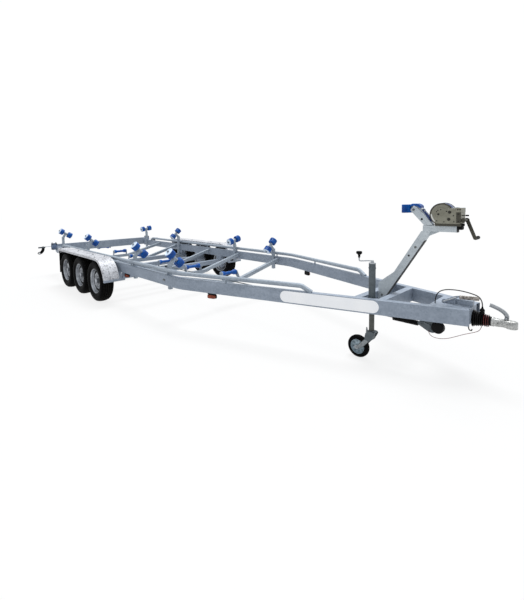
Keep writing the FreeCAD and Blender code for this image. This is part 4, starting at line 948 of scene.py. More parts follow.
handbrake = {
    "side": -0.034,
    "plate": [(4.18, 0.59), (4.165, 0.578), (4.165, 0.56), (4.262, 0.56)],
    "plateHalf": 0.004,
    "teeth": 12,
    "firstTooth": (4.262, 0.6035),
    "toothStep": (-0.00425, -0.0022),
    "toothHeight": 0.004,
    "bar": [(4.176, 0.566), (4.19, 0.562), (4.262, 0.607), (4.29, 0.6215), (4.29, 0.6345), (4.256, 0.625),
            (4.178, 0.58)],
    "barFaces": (0.0105, 0.0045),  # distances from the plate's middle, on its outer side
    "bolts": [(4.185, 0.571, 0.007), (4.235, 0.598, 0.0055)],  # (x, z, size)
    "brace": [(4.205, -0.155, 0.5975), (4.212, -0.148, 0.599), (4.266, -0.05, 0.616), (4.272, -0.04, 0.617)],
    "braceRadius": 0.0055,
    "gripFrom": 4.286,
    "gripLong": 0.134,
    "gripHeight": 0.62,
    "gripRise": 0.08,
    "gripRadius": 0.014,
    "gripRidge": 0.0012,
    "gripRidges": 9,
    "gripEnd": 0.04,  # share of the length that each end's rounding takes
}


def makeHandbrake():
    # Toothed quadrant with its flat lever, and the round brace from the housing's near edge up to the lever
    h = handbrake
    side = h["side"]
    (x, z), (stepX, stepZ) = h["firstTooth"], h["toothStep"]
    teeth = [(x + stepX * n, z + stepZ * n + h["toothHeight"] * (n % 2)) for n in range(h["teeth"])]
    outer, inner = (side - d for d in h["barFaces"])
    shapes = [slab(h["plate"] + teeth, "xz", side - h["plateHalf"], side + h["plateHalf"]),
              slab(h["bar"], "xz", outer, inner)]
    for x, z, size in h["bolts"]:
        shapes += bolt((x, outer, z), (0, -1, 0), size)
    newPiece("handbrakeQuadrant", ahead(shapes), "galvanisedSteel", bevel=0.0008,
             replaces=["handbrake_lever"])
    newPiece("handbrakeBrace", ahead([swept(h["brace"], disc(h["braceRadius"]))]), "brightZinc",
             sharp=60)
    # Ridged grip: the radius ripples along its length and closes at both ends like a quarter circle
    t = np.linspace(0, 1, 60)
    radius = h["gripRadius"] + h["gripRidge"] * np.sin(t * np.pi * h["gripRidges"]) ** 2
    closing = np.sqrt(1 - np.clip((np.abs(t - 0.5) - 0.5) / h["gripEnd"] + 1, 0, 1) ** 2)
    profile = [(0, 0), *zip(radius * closing, t * h["gripLong"]), (0, h["gripLong"])]
    grip = spun(profile, (h["gripFrom"], side, h["gripHeight"]), (1, 0, h["gripRise"]), 32)
    newPiece("handbrakeGrip", ahead([grip]), "gripRubber", sharp=60)


linkage = {
    "stop": [(0, -0.1875), (0.036, -0.1875), (0.0425, -0.184), (0.045, -0.178), (0.045, -0.142),
             (0.0425, -0.136), (0.036, -0.1335), (0, -0.1335)],
    "stopPlace": (4.18, 0, 0.387),
    "springPlace": (0, -0.16, 0.386),
    "springEnds": (3.829, 4.035),
    "springEndRadius": 0.015,
    "coilsFrom": 3.831,
    "coilsLong": 0.201,
    "coilRadius": 0.0196,
    "coilDepth": 0.0012,
    "coils": 30,
    "joints": [(4.06, -0.1645, 0.412), (4.12, -0.1645, 0.395), (4.132, -0.1645, 0.365)],
    "jointSize": 0.0085,
    "rod": [(4.034, 0.3945), (4.075, 0.402), (4.12, 0.3945)],
    "rodSide": -0.1705,
    "rodRadius": 0.0055,
    "clevis": [(4.026, 0.381), (4.052, 0.383), (4.06, 0.39), (4.052, 0.399), (4.026, 0.401)],
    "clevisFaces": (-0.1735, -0.1665),
    "hook": [(4.372, 0.44), (4.372, 0.418), (4.378, 0.404), (4.39, 0.402), (4.394, 0.414)],
    "hookSide": -0.105,
    "hookRadius": 0.004,
}


def makeLinkage():
    # Round rubber stop beside the crank plate, joints of the brake rod and the spring's sleeve
    k = linkage
    newPiece("brakeStop", ahead([spun(k["stop"], k["stopPlace"], (0, 1, 0), 40)]), "blackPlastic")
    t = np.linspace(0, 1, 120)
    coils = k["coilRadius"] + k["coilDepth"] * np.sin(t * fullTurn * k["coils"])
    (start, end), small = k["springEnds"], k["springEndRadius"]
    profile = [(0, start), (small, start), *zip(coils, k["coilsFrom"] + t * k["coilsLong"]), (small, end), (0, end)]
    newPiece("brakeSpring", ahead([spun(profile, k["springPlace"], (1, 0, 0), 28)]), "blackPlastic",
             sharp=60, replaces=["brake_spring"])
    shapes = bolts(k["joints"], (0, -1, 0), k["jointSize"])
    shapes.append(swept(standing(smoothLine(k["rod"], 12), k["rodSide"]), disc(k["rodRadius"])))
    shapes.append(slab(k["clevis"], "xz", *k["clevisFaces"]))
    newPiece("brakeJoints", ahead(shapes), "jockeyZinc")
    # Hook for the thin cable below the nose
    newPiece("cableHook", ahead([bentRod(k["hook"], 24, k["hookSide"], k["hookRadius"], 10)]), "darkSteel",
             sharp=60)


makeBellows()
makeCouplingHead()
makeHandbrake()
makeLinkage()

# Winch. Places are (x, z) unless a comment says otherwise.
winchFrame = {
    "cheekFaces": (0.0505, 0.0555),
    "rear": 4.104,
    "front": 4.288,
    "floor": 1.187,
    "top": 1.306,
    "corner": 0.014,
    "lidFrom": 4.252,
    "lidDepth": 0.03,
    "lidProud": (0.001, 0.005, 0.004),  # past the front, the near cheek and the top
    "frontPlate": 0.004,
    "housingInset": (0.004, 0.001, 0.008),  # from the lid's rear, the front and the floor
    "housingProud": 0.0035,
    "armTop": 1.1675,
    "barFaces": (0.043, 0.052),
    "shaft": (4.3, 1.215),
    "boss": [(0.0098, 0), (0.0165, 0), (0.0165, 0.005), (0.0098, 0.005)],
    "cheekBolts": [(4.209, 1.277, 0.0062), (4.204, 1.222, 0.0062), (4.129, 1.26, 0.0042), (4.188, 1.283, 0.0028)],
    "lidBolts": [(4.266, 1.297), (4.281, 1.297), (4.271, 1.262), (4.271, 1.206)],
    "lidBoltProud": 0.0045,
    "lidBoltSize": 0.003,
    "holes": [(4.115, 1.281), (4.125, 1.291), (4.146, 1.296), (4.17, 1.201), (4.118, 1.208), (4.236, 1.25),
              (4.24, 1.203)],
    "holeRadius": 0.0045,
    "gear": (4.236, 1.27),
    "gearFaces": (0.0415, 0.0475),
    "gearRadius": 0.04,
    "toothHeight": 0.0045,
    "teeth": 30,
    "lever": [(0, 4.287), (0.0035, 4.287), (0.0035, 4.312), (0.006, 4.314), (0.006, 4.331), (0.0045, 4.333),
              (0, 4.333)],
    "leverPlace": (0, -0.03, 1.252),
    "stop": ((4.271, 0, 1.161), (0.04, 0.054, 0.042)),  # centre and size
    "stopPlate": ((4.2545, -0.0285, 1.119), (4.2565, 0.0285, 1.1665)),
}


def makeWinchFrame():
    # Cheeks: straight plates with soft corners that leave the drum's rim free
    w = winchFrame
    (inner, outer), rear, front, floor, top = (w[k] for k in ("cheekFaces", "rear", "front", "floor", "top"))
    lidFrom, lidFloor = w["lidFrom"], top - w["lidDepth"]
    proudX, proudY, proudZ = w["lidProud"]
    outline = rounded(front - rear, top - floor, w["corner"]) + [(front + rear) / 2, (top + floor) / 2]
    # Stepped lid over the gears, and the plate that joins the cheeks in front
    lid = brick((lidFrom, -outer - proudY, lidFloor), (front + proudX, outer, top + proudZ))
    plate = brick((front - w["frontPlate"], -inner, floor + w["frontPlate"]), (front, inner, lidFloor))
    newPiece("winchFrame", ahead(twins(outline, inner, outer) + [lid, plate]), "winchZinc",
             bevel=0.0012, replaces=["winch_frame"])
    # Darker gear housing, its dark partly painted shade, base bars whose dark is painted shade in the gap under the
    # cheeks, and the bosses round the crank's shaft
    x, z = w["shaft"]
    bar = [(rear, w["armTop"]), (front, w["armTop"]), (front, floor), (rear, floor)]
    insetRear, insetFront, insetFloor = w["housingInset"]
    dark = [brick((lidFrom + insetRear, -outer - w["housingProud"], floor + insetFloor),
                  (front - insetFront, -outer, lidFloor))]
    dark += twins(bar, *w["barFaces"])
    dark += [spun(w["boss"], (x, side * inner, z), (0, side, 0), 28, closed=True) for side in (-1, 1)]
    newPiece("winchHousing", ahead(dark), "darkSteel", bevel=0.001)
    details, holes = [], []
    for side in (-1, 1):
        for x, z, size in w["cheekBolts"]:
            details += bolt((x, side * outer, z), (0, side, 0), size)
        for x, z in w["holes"]:
            holes += eyelet((x, side * outer, z), (0, side, 0), w["holeRadius"])
    lidFace = -outer - w["lidBoltProud"]
    details += bolts([(x, lidFace, z) for x, z in w["lidBolts"]], (0, -1, 0), w["lidBoltSize"])
    newPiece("winchShafts", ahead(details), "darkBolt")
    newPiece("winchHoles", ahead(holes), "holeShade")
    # Gear whose teeth show above the cheek
    reach = w["gearRadius"] + w["toothHeight"] * np.tile([0, 1, 1, 0], w["teeth"])
    rim = disc(1, w["teeth"] * 4) * reach[:, None] + w["gear"]
    newPiece("winchGear", ahead(twins(rim, *w["gearFaces"])), "brightZinc")
    # Ratchet lever and the rubber end of the arm
    stop = [spun(w["lever"], w["leverPlace"], (1, 0, 0), 16), pillow(*w["stop"], power=7), brick(*w["stopPlate"])]
    newPiece("winchStop", ahead(stop), "blackPlastic")


winchDrum = {
    "centre": (4.147, 0, 1.26),
    "flange": [(0, 0.035), (0.074, 0.0345), (0.083, 0.0335), (0.083, 0.036), (0.066, 0.042), (0.036, 0.0425),
               (0, 0.0425)],
    "core": [(0, -0.036), (0.045, -0.036), (0.045, 0.036), (0, 0.036)],
    "patchRadius": 0.079,
    "patchShift": 0.00884,
    "patchTurns": (3.14, 4.72),
    "patchBack": 0.1,  # angle by which the inner arc is shorter at each end
    "patchFrom": (-0.0411, 0.0366),
    "patchThick": 0.0045,
    "rimInner": 0.0775,
    "rimRadii": ((-1, 0.088), (1, 0.0905)),  # (side, outer radius)
    "rimInside": [(0, 0.033), (0, 0.0345), (0.002, 0.041)],  # (radius past an edge, place along the axle)
    "rimOutside": [(-0.002, 0.041), (0, 0.0395), (0, 0.033)],
    "strapHalf": 0.031,
    "strapRadii": (0.046, 0.0865),
    "strapRound": 0.47,  # length of one turn of the strap
    "layerStep": 0.0015,
}


def makeWinchDrum():
    # Two flanges and a core, with a painted highlight, a bright crescent, on each flange
    d = winchDrum
    centre = d["centre"]
    flange = d["flange"]
    halves = (flange, [(r, -y) for r, y in flange], d["core"])
    newPiece("winchDrum", ahead([spun(p, centre, (0, 1, 0), 64) for p in halves]), "winchZinc", "winch_drum",
             replaces=["winch_drum"])
    # The patch is a crescent between two equal arcs, one shifted along the diagonal
    start, end = d["patchTurns"]
    edge = arc((0, 0), d["patchRadius"], start, end, 24)
    back = arc((d["patchShift"],) * 2, d["patchRadius"], end - d["patchBack"], start + d["patchBack"], 22)
    crescent = np.vstack([edge, back]) + [centre[0], centre[2]]
    flangeHighlights = [slab(crescent, "xz", low, low + d["patchThick"]) for low in d["patchFrom"]]
    newPiece("drumFlangeHighlight", ahead(flangeHighlights), "drumBright", "winch_drum")
    # A dark ring of painted shade round each flange's rolled rim
    rims = [[(d["rimInner"] + r, way * y) for r, y in d["rimInside"]]
            + [(radius + r, way * y) for r, y in d["rimOutside"]] for way, radius in d["rimRadii"]]
    newPiece("drumRimShade", ahead([spun(r, centre, (0, 1, 0), 64, closed=True) for r in rims]), "darkSteel",
             "winch_drum")
    # Strap wound on the drum: one ring whose outside steps in and out with the layers' edges
    half, (core, radius) = d["strapHalf"], d["strapRadii"]
    layers = [(radius - d["layerStep"] * (n % 2), y) for n, y in enumerate(np.linspace(-half, half, 9))]
    layers = np.array([(core, -half), *layers, (core, half)])
    steps = 72
    newPiece("woundStrap", ahead([spun(layers, centre, (0, 1, 0), steps, closed=True)]), "strapWebbing",
             "winch_drum", attributes={"across": np.repeat((layers[:, 1] + half) / 2 / half, steps),
                                       "along": np.tile(np.arange(steps) / steps * d["strapRound"], len(layers))})


winchCrank = {
    "end": (4.356, 1.074),
    "armFaces": (0.0595, 0.0665),
    "armRadii": (0.013, 0.012),
    "shaft": [(0, -0.05), (0.009, -0.05), (0.0098, -0.048), (0.0098, 0.064), (0.009, 0.07), (0, 0.07)],
    "gripFrom": 0.068,
    "gripRadius": 0.0128,
    "gripRidge": 0.0012,
    "gripRidges": 5,
    "gripLong": 0.091,
    "gripEnd": [(0.01, 0.005), (0, 0.006)],  # (radius, place past the ridges)
}


def makeWinchCrank():
    # Shaft, flat arm with round ends, and the grip, whose radius ripples along its length
    c = winchCrank
    (x, z), (endX, endZ), (near, far) = winchFrame["shaft"], c["end"], c["armFaces"]
    lean, quarter = math.atan2(endZ - z, endX - x), np.pi / 2
    arm = np.vstack([arc((x, z), c["armRadii"][0], lean + quarter, lean + 3 * quarter, 12),
                     arc((endX, endZ), c["armRadii"][1], lean - quarter, lean + quarter, 12)])
    shapes = [slab(arm, "xz", near, far), spun(c["shaft"], (x, 0, z), (0, 1, 0), 24)]
    newPiece("winchCrank", ahead(shapes + bolt((x, far, z), (0, 1, 0))), "darkSteel", "winch_crank",
             bevel=0.001, replaces=["winch_crank"])
    t = np.linspace(0, 1, 40)
    radius = c["gripRadius"] + c["gripRidge"] * np.sin(t * np.pi * c["gripRidges"]) ** 2
    start, end = c["gripFrom"], c["gripFrom"] + c["gripLong"]
    grip = [(0, start), (0.01, start), *zip(radius, start + 0.002 + t * c["gripLong"])]
    grip += [(r, end + y) for r, y in c["gripEnd"]]
    newPiece("winchGrip", ahead([spun(grip, (endX, 0, endZ), (0, 1, 0), 28)]), "blackPlastic", "winch_crank",
             sharp=60)


bow = {
    "plan": [(3.903, 0.03), (3.874, 0.08), (3.862, 0.081), (3.848, 0.071), (3.847, 0.062), (3.876, 0.01)],
    "blockFaces": (1.27, 1.34),
    "cap": [(3.9, 1.322), (3.908, 1.342), (3.92, 1.3465), (3.955, 1.3465), (3.974, 1.338), (3.987, 1.326),
            (3.987, 1.308), (3.976, 1.31), (3.956, 1.326), (3.93, 1.3285)],
    "capFaces": (-0.0325, 0.046),
    "arm": [(4.014, 1.169), (3.904, 1.29), (3.906, 1.3), (3.928, 1.322), (3.938, 1.3235), (3.953, 1.321),
            (4.082, 1.1715)],
    "armFaces": (0.0145, 0.03),
    "strap": [(4.066, 1.222), (4.06, 1.214), (4.045, 1.223), (4.02, 1.252), (3.995, 1.281), (3.982, 1.297)],
    "strapWidth": 0.044,
    "strapThick": 0.0016,
    "hook": [(3.986, 1.288), (3.992, 1.3), (4.004, 1.303), (4.01, 1.292), (4.004, 1.281)],
    "hookRadius": 0.0045,
    "pin": [(3.994, -0.024, 1.279), (3.994, 0.024, 1.279)],
    "pinRadius": 0.0035,
}


def makeBow():
    # A rounded V with a cap over the arm's end, and the arm's side plates from its foot up to the block
    b = bow
    plan = b["plan"] + [(x, -y) for x, y in b["plan"][::-1]]
    block = ahead([slab(plan, "xy", *b["blockFaces"]), slab(b["cap"], "xz", *b["capFaces"])])
    newPiece("bowBlock", block, "rollerBlue", bevel=0.004,
             attributes={"pale": np.zeros(sum(len(p) for p, _ in block))}, replaces=["bow_block"])
    newPiece("bowArm", ahead(twins(b["arm"], *b["armFaces"])), "postSteel", bevel=0.002)
    # Free run of the strap, stretched from the drum down the arm to its hook below the block
    path = standing(smoothLine(b["strap"], 50), 0)
    run = np.concatenate([[0], np.cumsum(np.linalg.norm(np.diff(path, axis=0), axis=1))])
    across, up = b["strapWidth"] / 2, b["strapThick"] / 2
    edges = [(-across, -up), (across, -up), (across, up), (-across, up)]
    strap = newPiece("winchStrap", ahead([swept(path, edges, up=(0, 1, 0))]), "strapWebbing", attributes={
        "across": np.tile([0.0, 1.0, 1.0, 0.0], 50), "along": np.repeat(run, 4)})
    strapHook = newPiece("strapHook", ahead([
        bentRod(b["hook"], 24, 0, b["hookRadius"]), swept(b["pin"], disc(b["pinRadius"], 10))]), "brightZinc",
        sharp=60)


post = {
    "sleeve": [(3.777, 0.752), (3.8255, 0.722), (4.0085, 1.0235), (3.959, 1.049)],
    "sleeveFaces": (0.0295, 0.033),
    "mouth": [(3.7045, 0.527), (4.0186, 1.0415), (4.0204, 1.0403), (3.7063, 0.5258)],
    "mouthHalf": 0.0285,
    "holes": [(3.899, 0.033, 0.908, 0.0085), (3.997, 0.03, 1.218, 0.009)],  # place and radius
    "bolts": [(3.952, 0.033, 0.983), (3.93, 0.03, 1.296), (3.668, 0.03, 0.48), (3.668, 0.03, 0.53)],
    "boltSize": 0.0055,
}


def makePost():
    # The lower half of the telescoping post, and a dark slab of painted shade in the open side of its channel along
    # the front
    p = post
    newPiece("postSleeve", ahead(twins(p["sleeve"], *p["sleeveFaces"])), "postSteel",
             bevel=0.0008)
    newPiece("postMouth", ahead([slab(p["mouth"], "xz", -p["mouthHalf"], p["mouthHalf"])]), "holeShade")
    holes, heads = [], []
    for side in (-1, 1):
        for x, y, z, radius in p["holes"]:
            holes += eyelet((x, side * y, z), (0, side, 0), radius)
        heads += bolts([(x, side * y, z) for x, y, z in p["bolts"]], (0, side, 0), p["boltSize"])
    newPiece("postHoles", ahead(holes), "holeShade")
    newPiece("postBolts", ahead(heads), "boltZinc")


makeWinchFrame()
makeWinchDrum()
makeWinchCrank()
makeBow()
makePost()
print("hitch and winch built")

# Jockey wheel. Profiles on its tube are (radius, height), and on its wheel (radius, place along the axle).
jockey = {
    "tube": (3.69, -0.263, 0),
    "cap": [(0, 0.8445), (0.0275, 0.8445), (0.029, 0.846), (0.029, 0.85), (0.0275, 0.8515), (0.013, 0.852),
            (0.013, 0.868), (0.0105, 0.872), (0, 0.872)],
    "collars": ([(0.0278, 0.8), (0.0305, 0.802), (0.0305, 0.812), (0.0278, 0.814)],
                [(0.0282, 0.425), (0.031, 0.427), (0.031, 0.437), (0.0282, 0.439)]),
    "handle": [(3.69, 0.8665), (3.655, 0.8655), (3.591, 0.857), (3.573, 0.8575), (3.569, 0.87), (3.569, 0.9)],
    "handleRadius": 0.005,
    "knobPlace": (3.569, -0.263, 0),
    "knob": [(0, 0.884), (0.0085, 0.884), (0.0095, 0.892), (0.0105, 0.908), (0.016, 0.9145), (0.0235, 0.9185),
             (0.0255, 0.925), (0.025, 0.934), (0.0215, 0.9395), (0, 0.9405)],
    "wheel": (3.571, -0.263, 0.098),
    "tyre": [(0.0625, 0.0225), (0.066, 0.024), (0.074, 0.0262), (0.083, 0.0255), (0.0905, 0.022),
             (0.0955, 0.015), (0.0975, 0.008), (0.0972, 0.0062), (0.0962, 0.0055), (0.0962, 0.004),
             (0.0972, 0.0032), (0.098, 0.0)],
    "wornRadius": 0.096,
    "rim": [(0.0635, 0.0235), (0.061, 0.0225), (0.059, 0.019), (0.055, 0.012), (0.048, 0.0085),
            (0.04, 0.0095), (0.033, 0.013), (0.024, 0.014), (0.02, 0.018), (0.018, 0.0215),
            (0.012, 0.022), (0.0085, 0.022)],
    "dents": 8,  # in the rim's disc
    "dentCircle": 0.044,
    "dentHalf": 0.008,
    "dentDepth": 0.004,
    "dentSharpness": 1.6,
    "cheekSide": 0.035,
    "cheekHalf": 0.003,
    "armFace": 0.0055,  # the bright arm's outer face, from the cheek's middle
    "cheek": [(3.592, 0.132), (3.646, 0.19), (3.645, 0.212), (3.652, 0.242), (3.668, 0.258), (3.7, 0.2645),
              (3.722, 0.262), (3.733, 0.251), (3.728, 0.236), (3.7, 0.186), (3.676, 0.166), (3.645, 0.13),
              (3.606, 0.096)],
    "arm": [(3.59, 0.124), (3.642, 0.18), (3.662, 0.186), (3.678, 0.176), (3.674, 0.167), (3.645, 0.132),
            (3.6, 0.094)],
    "armEnd": (0.017, 5.3, 1.4),  # radius round the axle, and the angles from and to
    "crown": [(0.0101, 0.232), (0.028, 0.232), (0.031, 0.236), (0.031, 0.261), (0.028, 0.265), (0.0101, 0.265)],
    "webs": [(3.7, 0.254, 3.731, 0.259), (3.704, 0.196, 3.709, 0.256)],  # (x, z) of two corners
    "latch": [(3.654, 0.25), (3.662, 0.248), (3.672, 0.262), (3.664, 0.297), (3.657, 0.296)],
    "latchFaces": (-0.031, -0.026),
    "nutSide": 0.04,
    "nutSize": 0.0095,
}


def makeJockeyTop():
    # Cap, crank handle and knob on top of the tube, and the collars at both ends of it
    j = jockey
    newPiece("jockeyCap", ahead([spun(j["cap"], j["tube"], (0, 0, 1), 36)]), "brightZinc")
    newPiece("jockeyHandle", ahead([bentRod(j["handle"], 40, j["tube"][1], j["handleRadius"])]), "brightZinc",
             sharp=60, replaces=["jockey_crank"])
    newPiece("jockeyKnob", ahead([spun(j["knob"], j["knobPlace"], (0, 0, 1), 32)]), "blackPlastic")
    rings = [spun(ring, j["tube"], (0, 0, 1), 36, closed=True) for ring in j["collars"]]
    newPiece("jockeyCollars", ahead(rings), "jockeyZinc")


def makeJockeyWheel():
    # Rounded solid tyre and a dished rim, dented where a ring of sine waves is above 0, with painted shade in the
    # dents
    j = jockey
    centre = spot(*j["wheel"])
    profile = j["tyre"] + mirrored(j["tyre"][:-1])
    worn = np.repeat([float(r > j["wornRadius"]) for r, _ in profile], 64)
    newPiece("jockeyTyre", [spun(profile, centre, (0, 1, 0), 64, closed=True)], "tyreRubber", "jockey_wheel",
             40, attributes={"worn": worn}, replaces=["jockey_tyre"])
    profile = np.array(j["rim"] + mirrored(j["rim"]))
    radius, place = profile[:, :1], profile[:, 1:]
    angle = turns(96)
    dent = np.clip(1 - ((radius - j["dentCircle"]) / j["dentHalf"]) ** 2, 0, 1)
    dent = dent * np.clip(np.sin(angle * j["dents"]) * j["dentSharpness"], 0, 1)
    points = aboutY(radius, place - np.sign(place) * dent * j["dentDepth"], angle, centre)
    newPiece("jockeyRim", [grid(points, closeAlong=True, closeAcross=True)], "jockeyRimSteel", "jockey_wheel",
             40, attributes={"deep": dent * 0.5}, replaces=["jockey_rim"])


def makeJockeyFork():
    # A bored crown between two pressed cheeks that narrow to arms, lighter as a painted highlight, and the latch
    # behind the tube
    j = jockey
    y, side, face = j["tube"][1], j["cheekSide"], j["cheekHalf"]
    end = arc((j["wheel"][0], j["wheel"][2]), *j["armEnd"], 12)
    shapes = twins(np.vstack([j["cheek"], end]), side - face, side + face, y)
    shapes.append(spun(j["crown"], j["tube"], (0, 0, 1), 40, closed=True))
    shapes += [brick((x, y - side, z), (farX, y + side, farZ)) for x, z, farX, farZ in j["webs"]]
    shapes.append(slab(j["latch"], "xz", *(y + d for d in j["latchFaces"])))
    newPiece("jockeyFork", ahead(shapes), "jockeyZinc", "jockey_castor", bevel=0.0012,
             replaces=["jockey_fork"])
    # The arms are a lighter copy of the fork's steel, a painted highlight along them
    arms = twins(np.vstack([j["arm"], end]), side + face, side + j["armFace"], y)
    newPiece("jockeyForkArms", ahead(arms), "forkSteel", "jockey_castor", bevel=0.001)
    nuts = []
    for way in (-1, 1):
        nuts += bolt(spot(*j["wheel"]) + [0, way * j["nutSide"], 0], (0, way, 0), j["nutSize"])
    newPiece("jockeyAxleNuts", nuts, "brightZinc", "jockey_castor")


makeJockeyTop()
makeJockeyWheel()
makeJockeyFork()
print("jockey wheel built")

# Lamps. A softly boxed part is (place out from the lamp, height, size, power).
railSlope = 0.326172
lamps = {
    "markers": [(2.205, 0.828, math.atan(railSlope)), (0.47, 0.955, 0.0)],  # (x, y, lean)
    "markerLens": (0.007, 0.399, (0.098, 0.024, 0.04), 4.5),
    "markerBases": [(-0.01, 0.401, (0.1, 0.018, 0.044), 6), (0.0, 0.43, (0.092, 0.038, 0.022), 9)],
    "rearSide": 0.855,
    "rearBody": ((-2.785, -0.1, 0.475), (-2.76, 0.1, 0.585)),
    "rearFace": -2.791,
    "rearRed": (-0.031, 0.53, (0.026, 0.122, 0.098), 9),
    "rearAmber": (0.063, 0.5545, (0.026, 0.06, 0.05), 9),
    "rearClear": (0.063, 0.5045, (0.026, 0.06, 0.046), 9),
}


def makeLamps():
    m = lamps

    def soft(x, y, side, part, lean=0.0):
        out, z, size, power = part
        return pillow((x, side * (y + out), z), size, -side * lean, power)

    lenses = [soft(x, y, side, m["markerLens"], lean) for side in (-1, 1) for x, y, lean in m["markers"]]
    bases = [soft(x, y, side, part, lean) for side in (-1, 1) for x, y, lean in m["markers"]
             for part in m["markerBases"]]
    newPiece("sideMarkerLenses", ahead(lenses), "amberLens", replaces=["side_markers"])
    newPiece("sideMarkerBases", ahead(bases), "blackPlastic")
    (lowX, lowY, lowZ), (highX, highY, highZ) = m["rearBody"]
    bodies = [brick((lowX, side * m["rearSide"] + lowY, lowZ), (highX, side * m["rearSide"] + highY, highZ))
              for side in (-1, 1)]
    newPiece("rearLampBodies", ahead(bodies), "blackPlastic", bevel=0.004,
             replaces=["rear_lamps"])
    for name, part, finish, slot in (("rearLampRed", "rearRed", "redLens", "lamp_red"),
                                     ("rearLampAmber", "rearAmber", "amberLens", "amber_lens"),
                                     ("rearLampClear", "rearClear", "clearLens", None)):
        panes = [soft(m["rearFace"], m["rearSide"], side, m[part]) for side in (-1, 1)]
        newPiece(name, ahead(panes), finish)


# Bars at the rear, with their clamps and the rubber arms, each with a small two-colour lamp at its tip
rearBars = {
    "x": -2.73,
    "arm": [(1.215, 0.5695), (1.216, 0.54), (1.224, 0.506), (1.242, 0.478), (1.266, 0.46), (1.296, 0.452)],
    "armSection": (0.052, 0.026, 0.011),  # width, thickness and corner
    "tip": (1.291, 0.4535),
    "tipBody": [(0, -0.019), (0.0205, -0.019), (0.0225, -0.015), (0.0225, 0.015), (0.0205, 0.019), (0, 0.019)],
    "tipLens": [(0, 0.0185), (0.0185, 0.0185), (0.018, 0.023), (0.012, 0.028), (0, 0.03)],
    "strip": (1.18, 1.298, 0.553, 0.5775),  # from and to along Y, and up Z
    "stripHalf": 0.018,
    "stripBolt": 1.215,
    "clamp": (1.016, 0.566),
    "clampOutline": (0.096, 0.13, 0.012),
    "clampPlates": ((-2.7045, -2.6995), (-2.7605, -2.7555)),
    "boltsOut": (0.034, 0.05),
    "boltSize": 0.0085,
    "bow": [(-2.7605, 0.622), (-2.756, 0.64), (-2.73, 0.647), (-2.704, 0.64), (-2.6995, 0.622)],
    "bowRadius": 0.005,
}


def makeRearBars():
    # Each arm is a rounded section carried along a smooth line that hangs from the bar's end
    b = rearBars
    x, face = b["x"], b["clampPlates"][0][1]
    near, far, low, high = b["strip"]
    (clampY, clampZ), (outY, outZ) = b["clamp"], b["boltsOut"]
    arms, white, back, clamps, strips = [], [], [], [], []
    for side in (-1, 1):
        line = smoothLine(b["arm"], 30)
        path = np.stack([np.full(30, x), side * line[:, 0], line[:, 1]], -1)
        tip = (x, side * b["tip"][0], b["tip"][1])
        arms += [swept(path, rounded(*b["armSection"]), up=(1, 0, 0)), spun(b["tipBody"], tip, (1, 0, 0), 28)]
        white.append(spun(b["tipLens"], tip, (1, 0, 0), 24))
        back.append(spun(b["tipLens"], tip, (-1, 0, 0), 24))
        # A strip that lengthens the bar over the arm, and the clamp that holds the bar at the rear beam's end
        lowY, highY = sorted((side * near, side * far))
        strips.append(brick((x - b["stripHalf"], lowY, low), (x + b["stripHalf"], highY, high)))
        strips += bolt((x, side * b["stripBolt"], high), (0, 0, 1))
        plate = rounded(*b["clampOutline"]) + [side * clampY, clampZ]
        clamps += [slab(plate, "yz", *faces) for faces in b["clampPlates"]]
        for y in (side * clampY - outY, side * clampY + outY):
            strips += bolts([(face, y, clampZ - outZ), (face, y, clampZ + outZ)], (1, 0, 0), b["boltSize"])
            strips.append(bentRod(b["bow"], 20, y, b["bowRadius"], 10))
    newPiece("markerArms", ahead(arms), "flapRubber", sharp=50, replaces=["marker_arms"])
    newPiece("markerWhite", ahead(white), "clearLens")
    newPiece("markerRed", ahead(back), "redLens")
    newPiece("markerClamps", ahead(clamps), "clampSteel", bevel=0.001)
    newPiece("markerStrips", ahead(strips), "barSteel")


trim = {
    "stickerPlace": (3.376, 0.5025),
    "stickerSize": (0.87, 0.104, 0.05, 8),  # length, height, corner and the corner's steps
    "railBend": (1.815, 0.955),  # (x, y) where the rail starts to taper
    "railHalf": 0.03,
    "stickerFaces": (-0.0002, 0.0005),
    "postFeet": (1.51, -2.51),
    "footStep": 0.011,
    "footPlace": (0.985, 0.5),  # (y, z)
    "footBoltSize": 0.0075,
    "brackets": (-0.32, -0.96),
    "bracketBolts": ((1.035, 0.52), (1.035, 0.545)),  # (y, z)
    "guardBolt": (1.12, 0.638),
    "guardEnds": (-1.56, 0.0),
    "guardEndBolts": (1.075, 1.215),
    "guardEndBoltSize": 0.007,
}


def makeTrim():
    # Blank white stickers, which follow the slanted outer face of each rail
    t = trim
    outline = rounded(*t["stickerSize"])
    (bendX, bendY), slope = t["railBend"], railSlope
    x = t["stickerPlace"][0] + outline[:, 0] * math.cos(math.atan(slope))
    y = bendY - (x - bendX) * slope + t["railHalf"] * math.sqrt(1 + slope * slope)
    z = t["stickerPlace"][1] + outline[:, 1]
    stickers = [grid(np.stack([np.stack([x, side * (y + face), z], -1) for face in t["stickerFaces"]]),
                     closeAcross=True, endCaps=True) for side in (-1, 1)]
    newPiece("railStickers", ahead(stickers), "stickerWhite")
    # Bolts at the feet of the roller posts and through the mudguards' brackets
    heads = []
    (footY, footZ), (guardY, guardZ), step = t["footPlace"], t["guardBolt"], t["footStep"]
    for side in (-1, 1):
        heads += bolts([(x + way * step, side * footY, footZ) for x in t["postFeet"] for way in (-1, 1)],
                       (0, side, 0), t["footBoltSize"])
        for x in t["brackets"]:
            heads += bolts([(x, side * y, z) for y, z in t["bracketBolts"]], (0, side, 0))
            heads += bolt((x, side * guardY, guardZ), (0, 0, 1))
        heads += bolts([(x, side * y, guardZ) for x in t["guardEnds"] for y in t["guardEndBolts"]], (0, 0, 1),
                       t["guardEndBoltSize"])
    newPiece("frameBolts", ahead(heads), "boltZinc")


makeLamps()
makeRearBars()
makeTrim()
print("lamps and trim built")

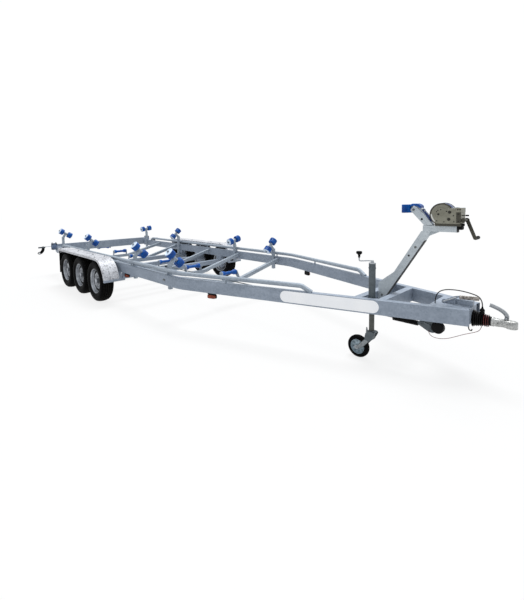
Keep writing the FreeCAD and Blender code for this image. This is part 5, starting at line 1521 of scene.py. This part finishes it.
# Floor, backdrop and light
stage = {
    "half": 60,
    "floorGrey": 0.5,
    "floorGlow": 1.07,
    "glowShare": 0.76,
    "skyColour": (0.94, 0.97, 1.0, 1),
    "skyLight": 0.86,
    "skySeen": 1.08,
    "sun": 2.6,
    "sunAngle": 28,
    "sunPlace": (1.5, 3.0, 8.0),
    "sunWay": (0.12, -0.28, -1.0),
}


def makeFloor():
    half = stage["half"]
    floor = bpy.data.meshes.new("floor")
    floor.from_pydata([(-half, -half, 0), (half, -half, 0), (half, half, 0), (-half, half, 0)], [], [(0, 1, 2, 3)])
    piece = bpy.data.objects.new("floor", floor)
    scene.collection.objects.link(piece)
    # The floor shines on its own to the camera and in reflections, over a diffuse part that keeps the shadow
    f = Finish("paleFloor", Roughness=0.9, Base_Color=(stage["floorGrey"],) * 3, Specular_IOR_Level=0.0)
    glow = f.node("ShaderNodeEmission", inputs={"Color": (1, 1, 1), "Strength": stage["floorGlow"]})
    camera, glossy, through = (f.node("ShaderNodeLightPath", output=word) for word in (
        "Is Camera Ray", "Is Glossy Ray", "Is Transmission Ray"))
    seen = f.maths("MAXIMUM", f.maths("MAXIMUM", camera, glossy), through)
    mixed = f.node("ShaderNodeMixShader", inputs={
        0: seen * stage["glowShare"], 1: Wire(f, f.shader.outputs[0]), 2: glow})
    out = next(n for n in f.tree.nodes if n.type == "OUTPUT_MATERIAL")
    f.tree.links.new(mixed.socket, out.inputs["Surface"])
    floor.materials.append(f.material)


def makeLight():
    world = bpy.data.worlds.new("studio")
    scene.world = world
    world.use_nodes = True
    tree = world.node_tree
    back = next(n for n in tree.nodes if n.type == "BACKGROUND")
    back.inputs["Color"].default_value = stage["skyColour"]
    path = tree.nodes.new("ShaderNodeLightPath")
    strength = tree.nodes.new("ShaderNodeMapRange")
    strength.inputs["To Min"].default_value = stage["skyLight"]
    strength.inputs["To Max"].default_value = stage["skySeen"]
    tree.links.new(path.outputs["Is Camera Ray"], strength.inputs["Value"])
    tree.links.new(strength.outputs[0], back.inputs["Strength"])
    light = bpy.data.lights.new("keyLight", "SUN")
    light.energy, light.angle = stage["sun"], math.radians(stage["sunAngle"])
    lamp = bpy.data.objects.new("keyLight", light)
    scene.collection.objects.link(lamp)
    lamp.location = stage["sunPlace"]
    lamp.rotation_euler = Vector(stage["sunWay"]).to_track_quat("-Z", "Y").to_euler()


makeFloor()
makeLight()
print("stage set")
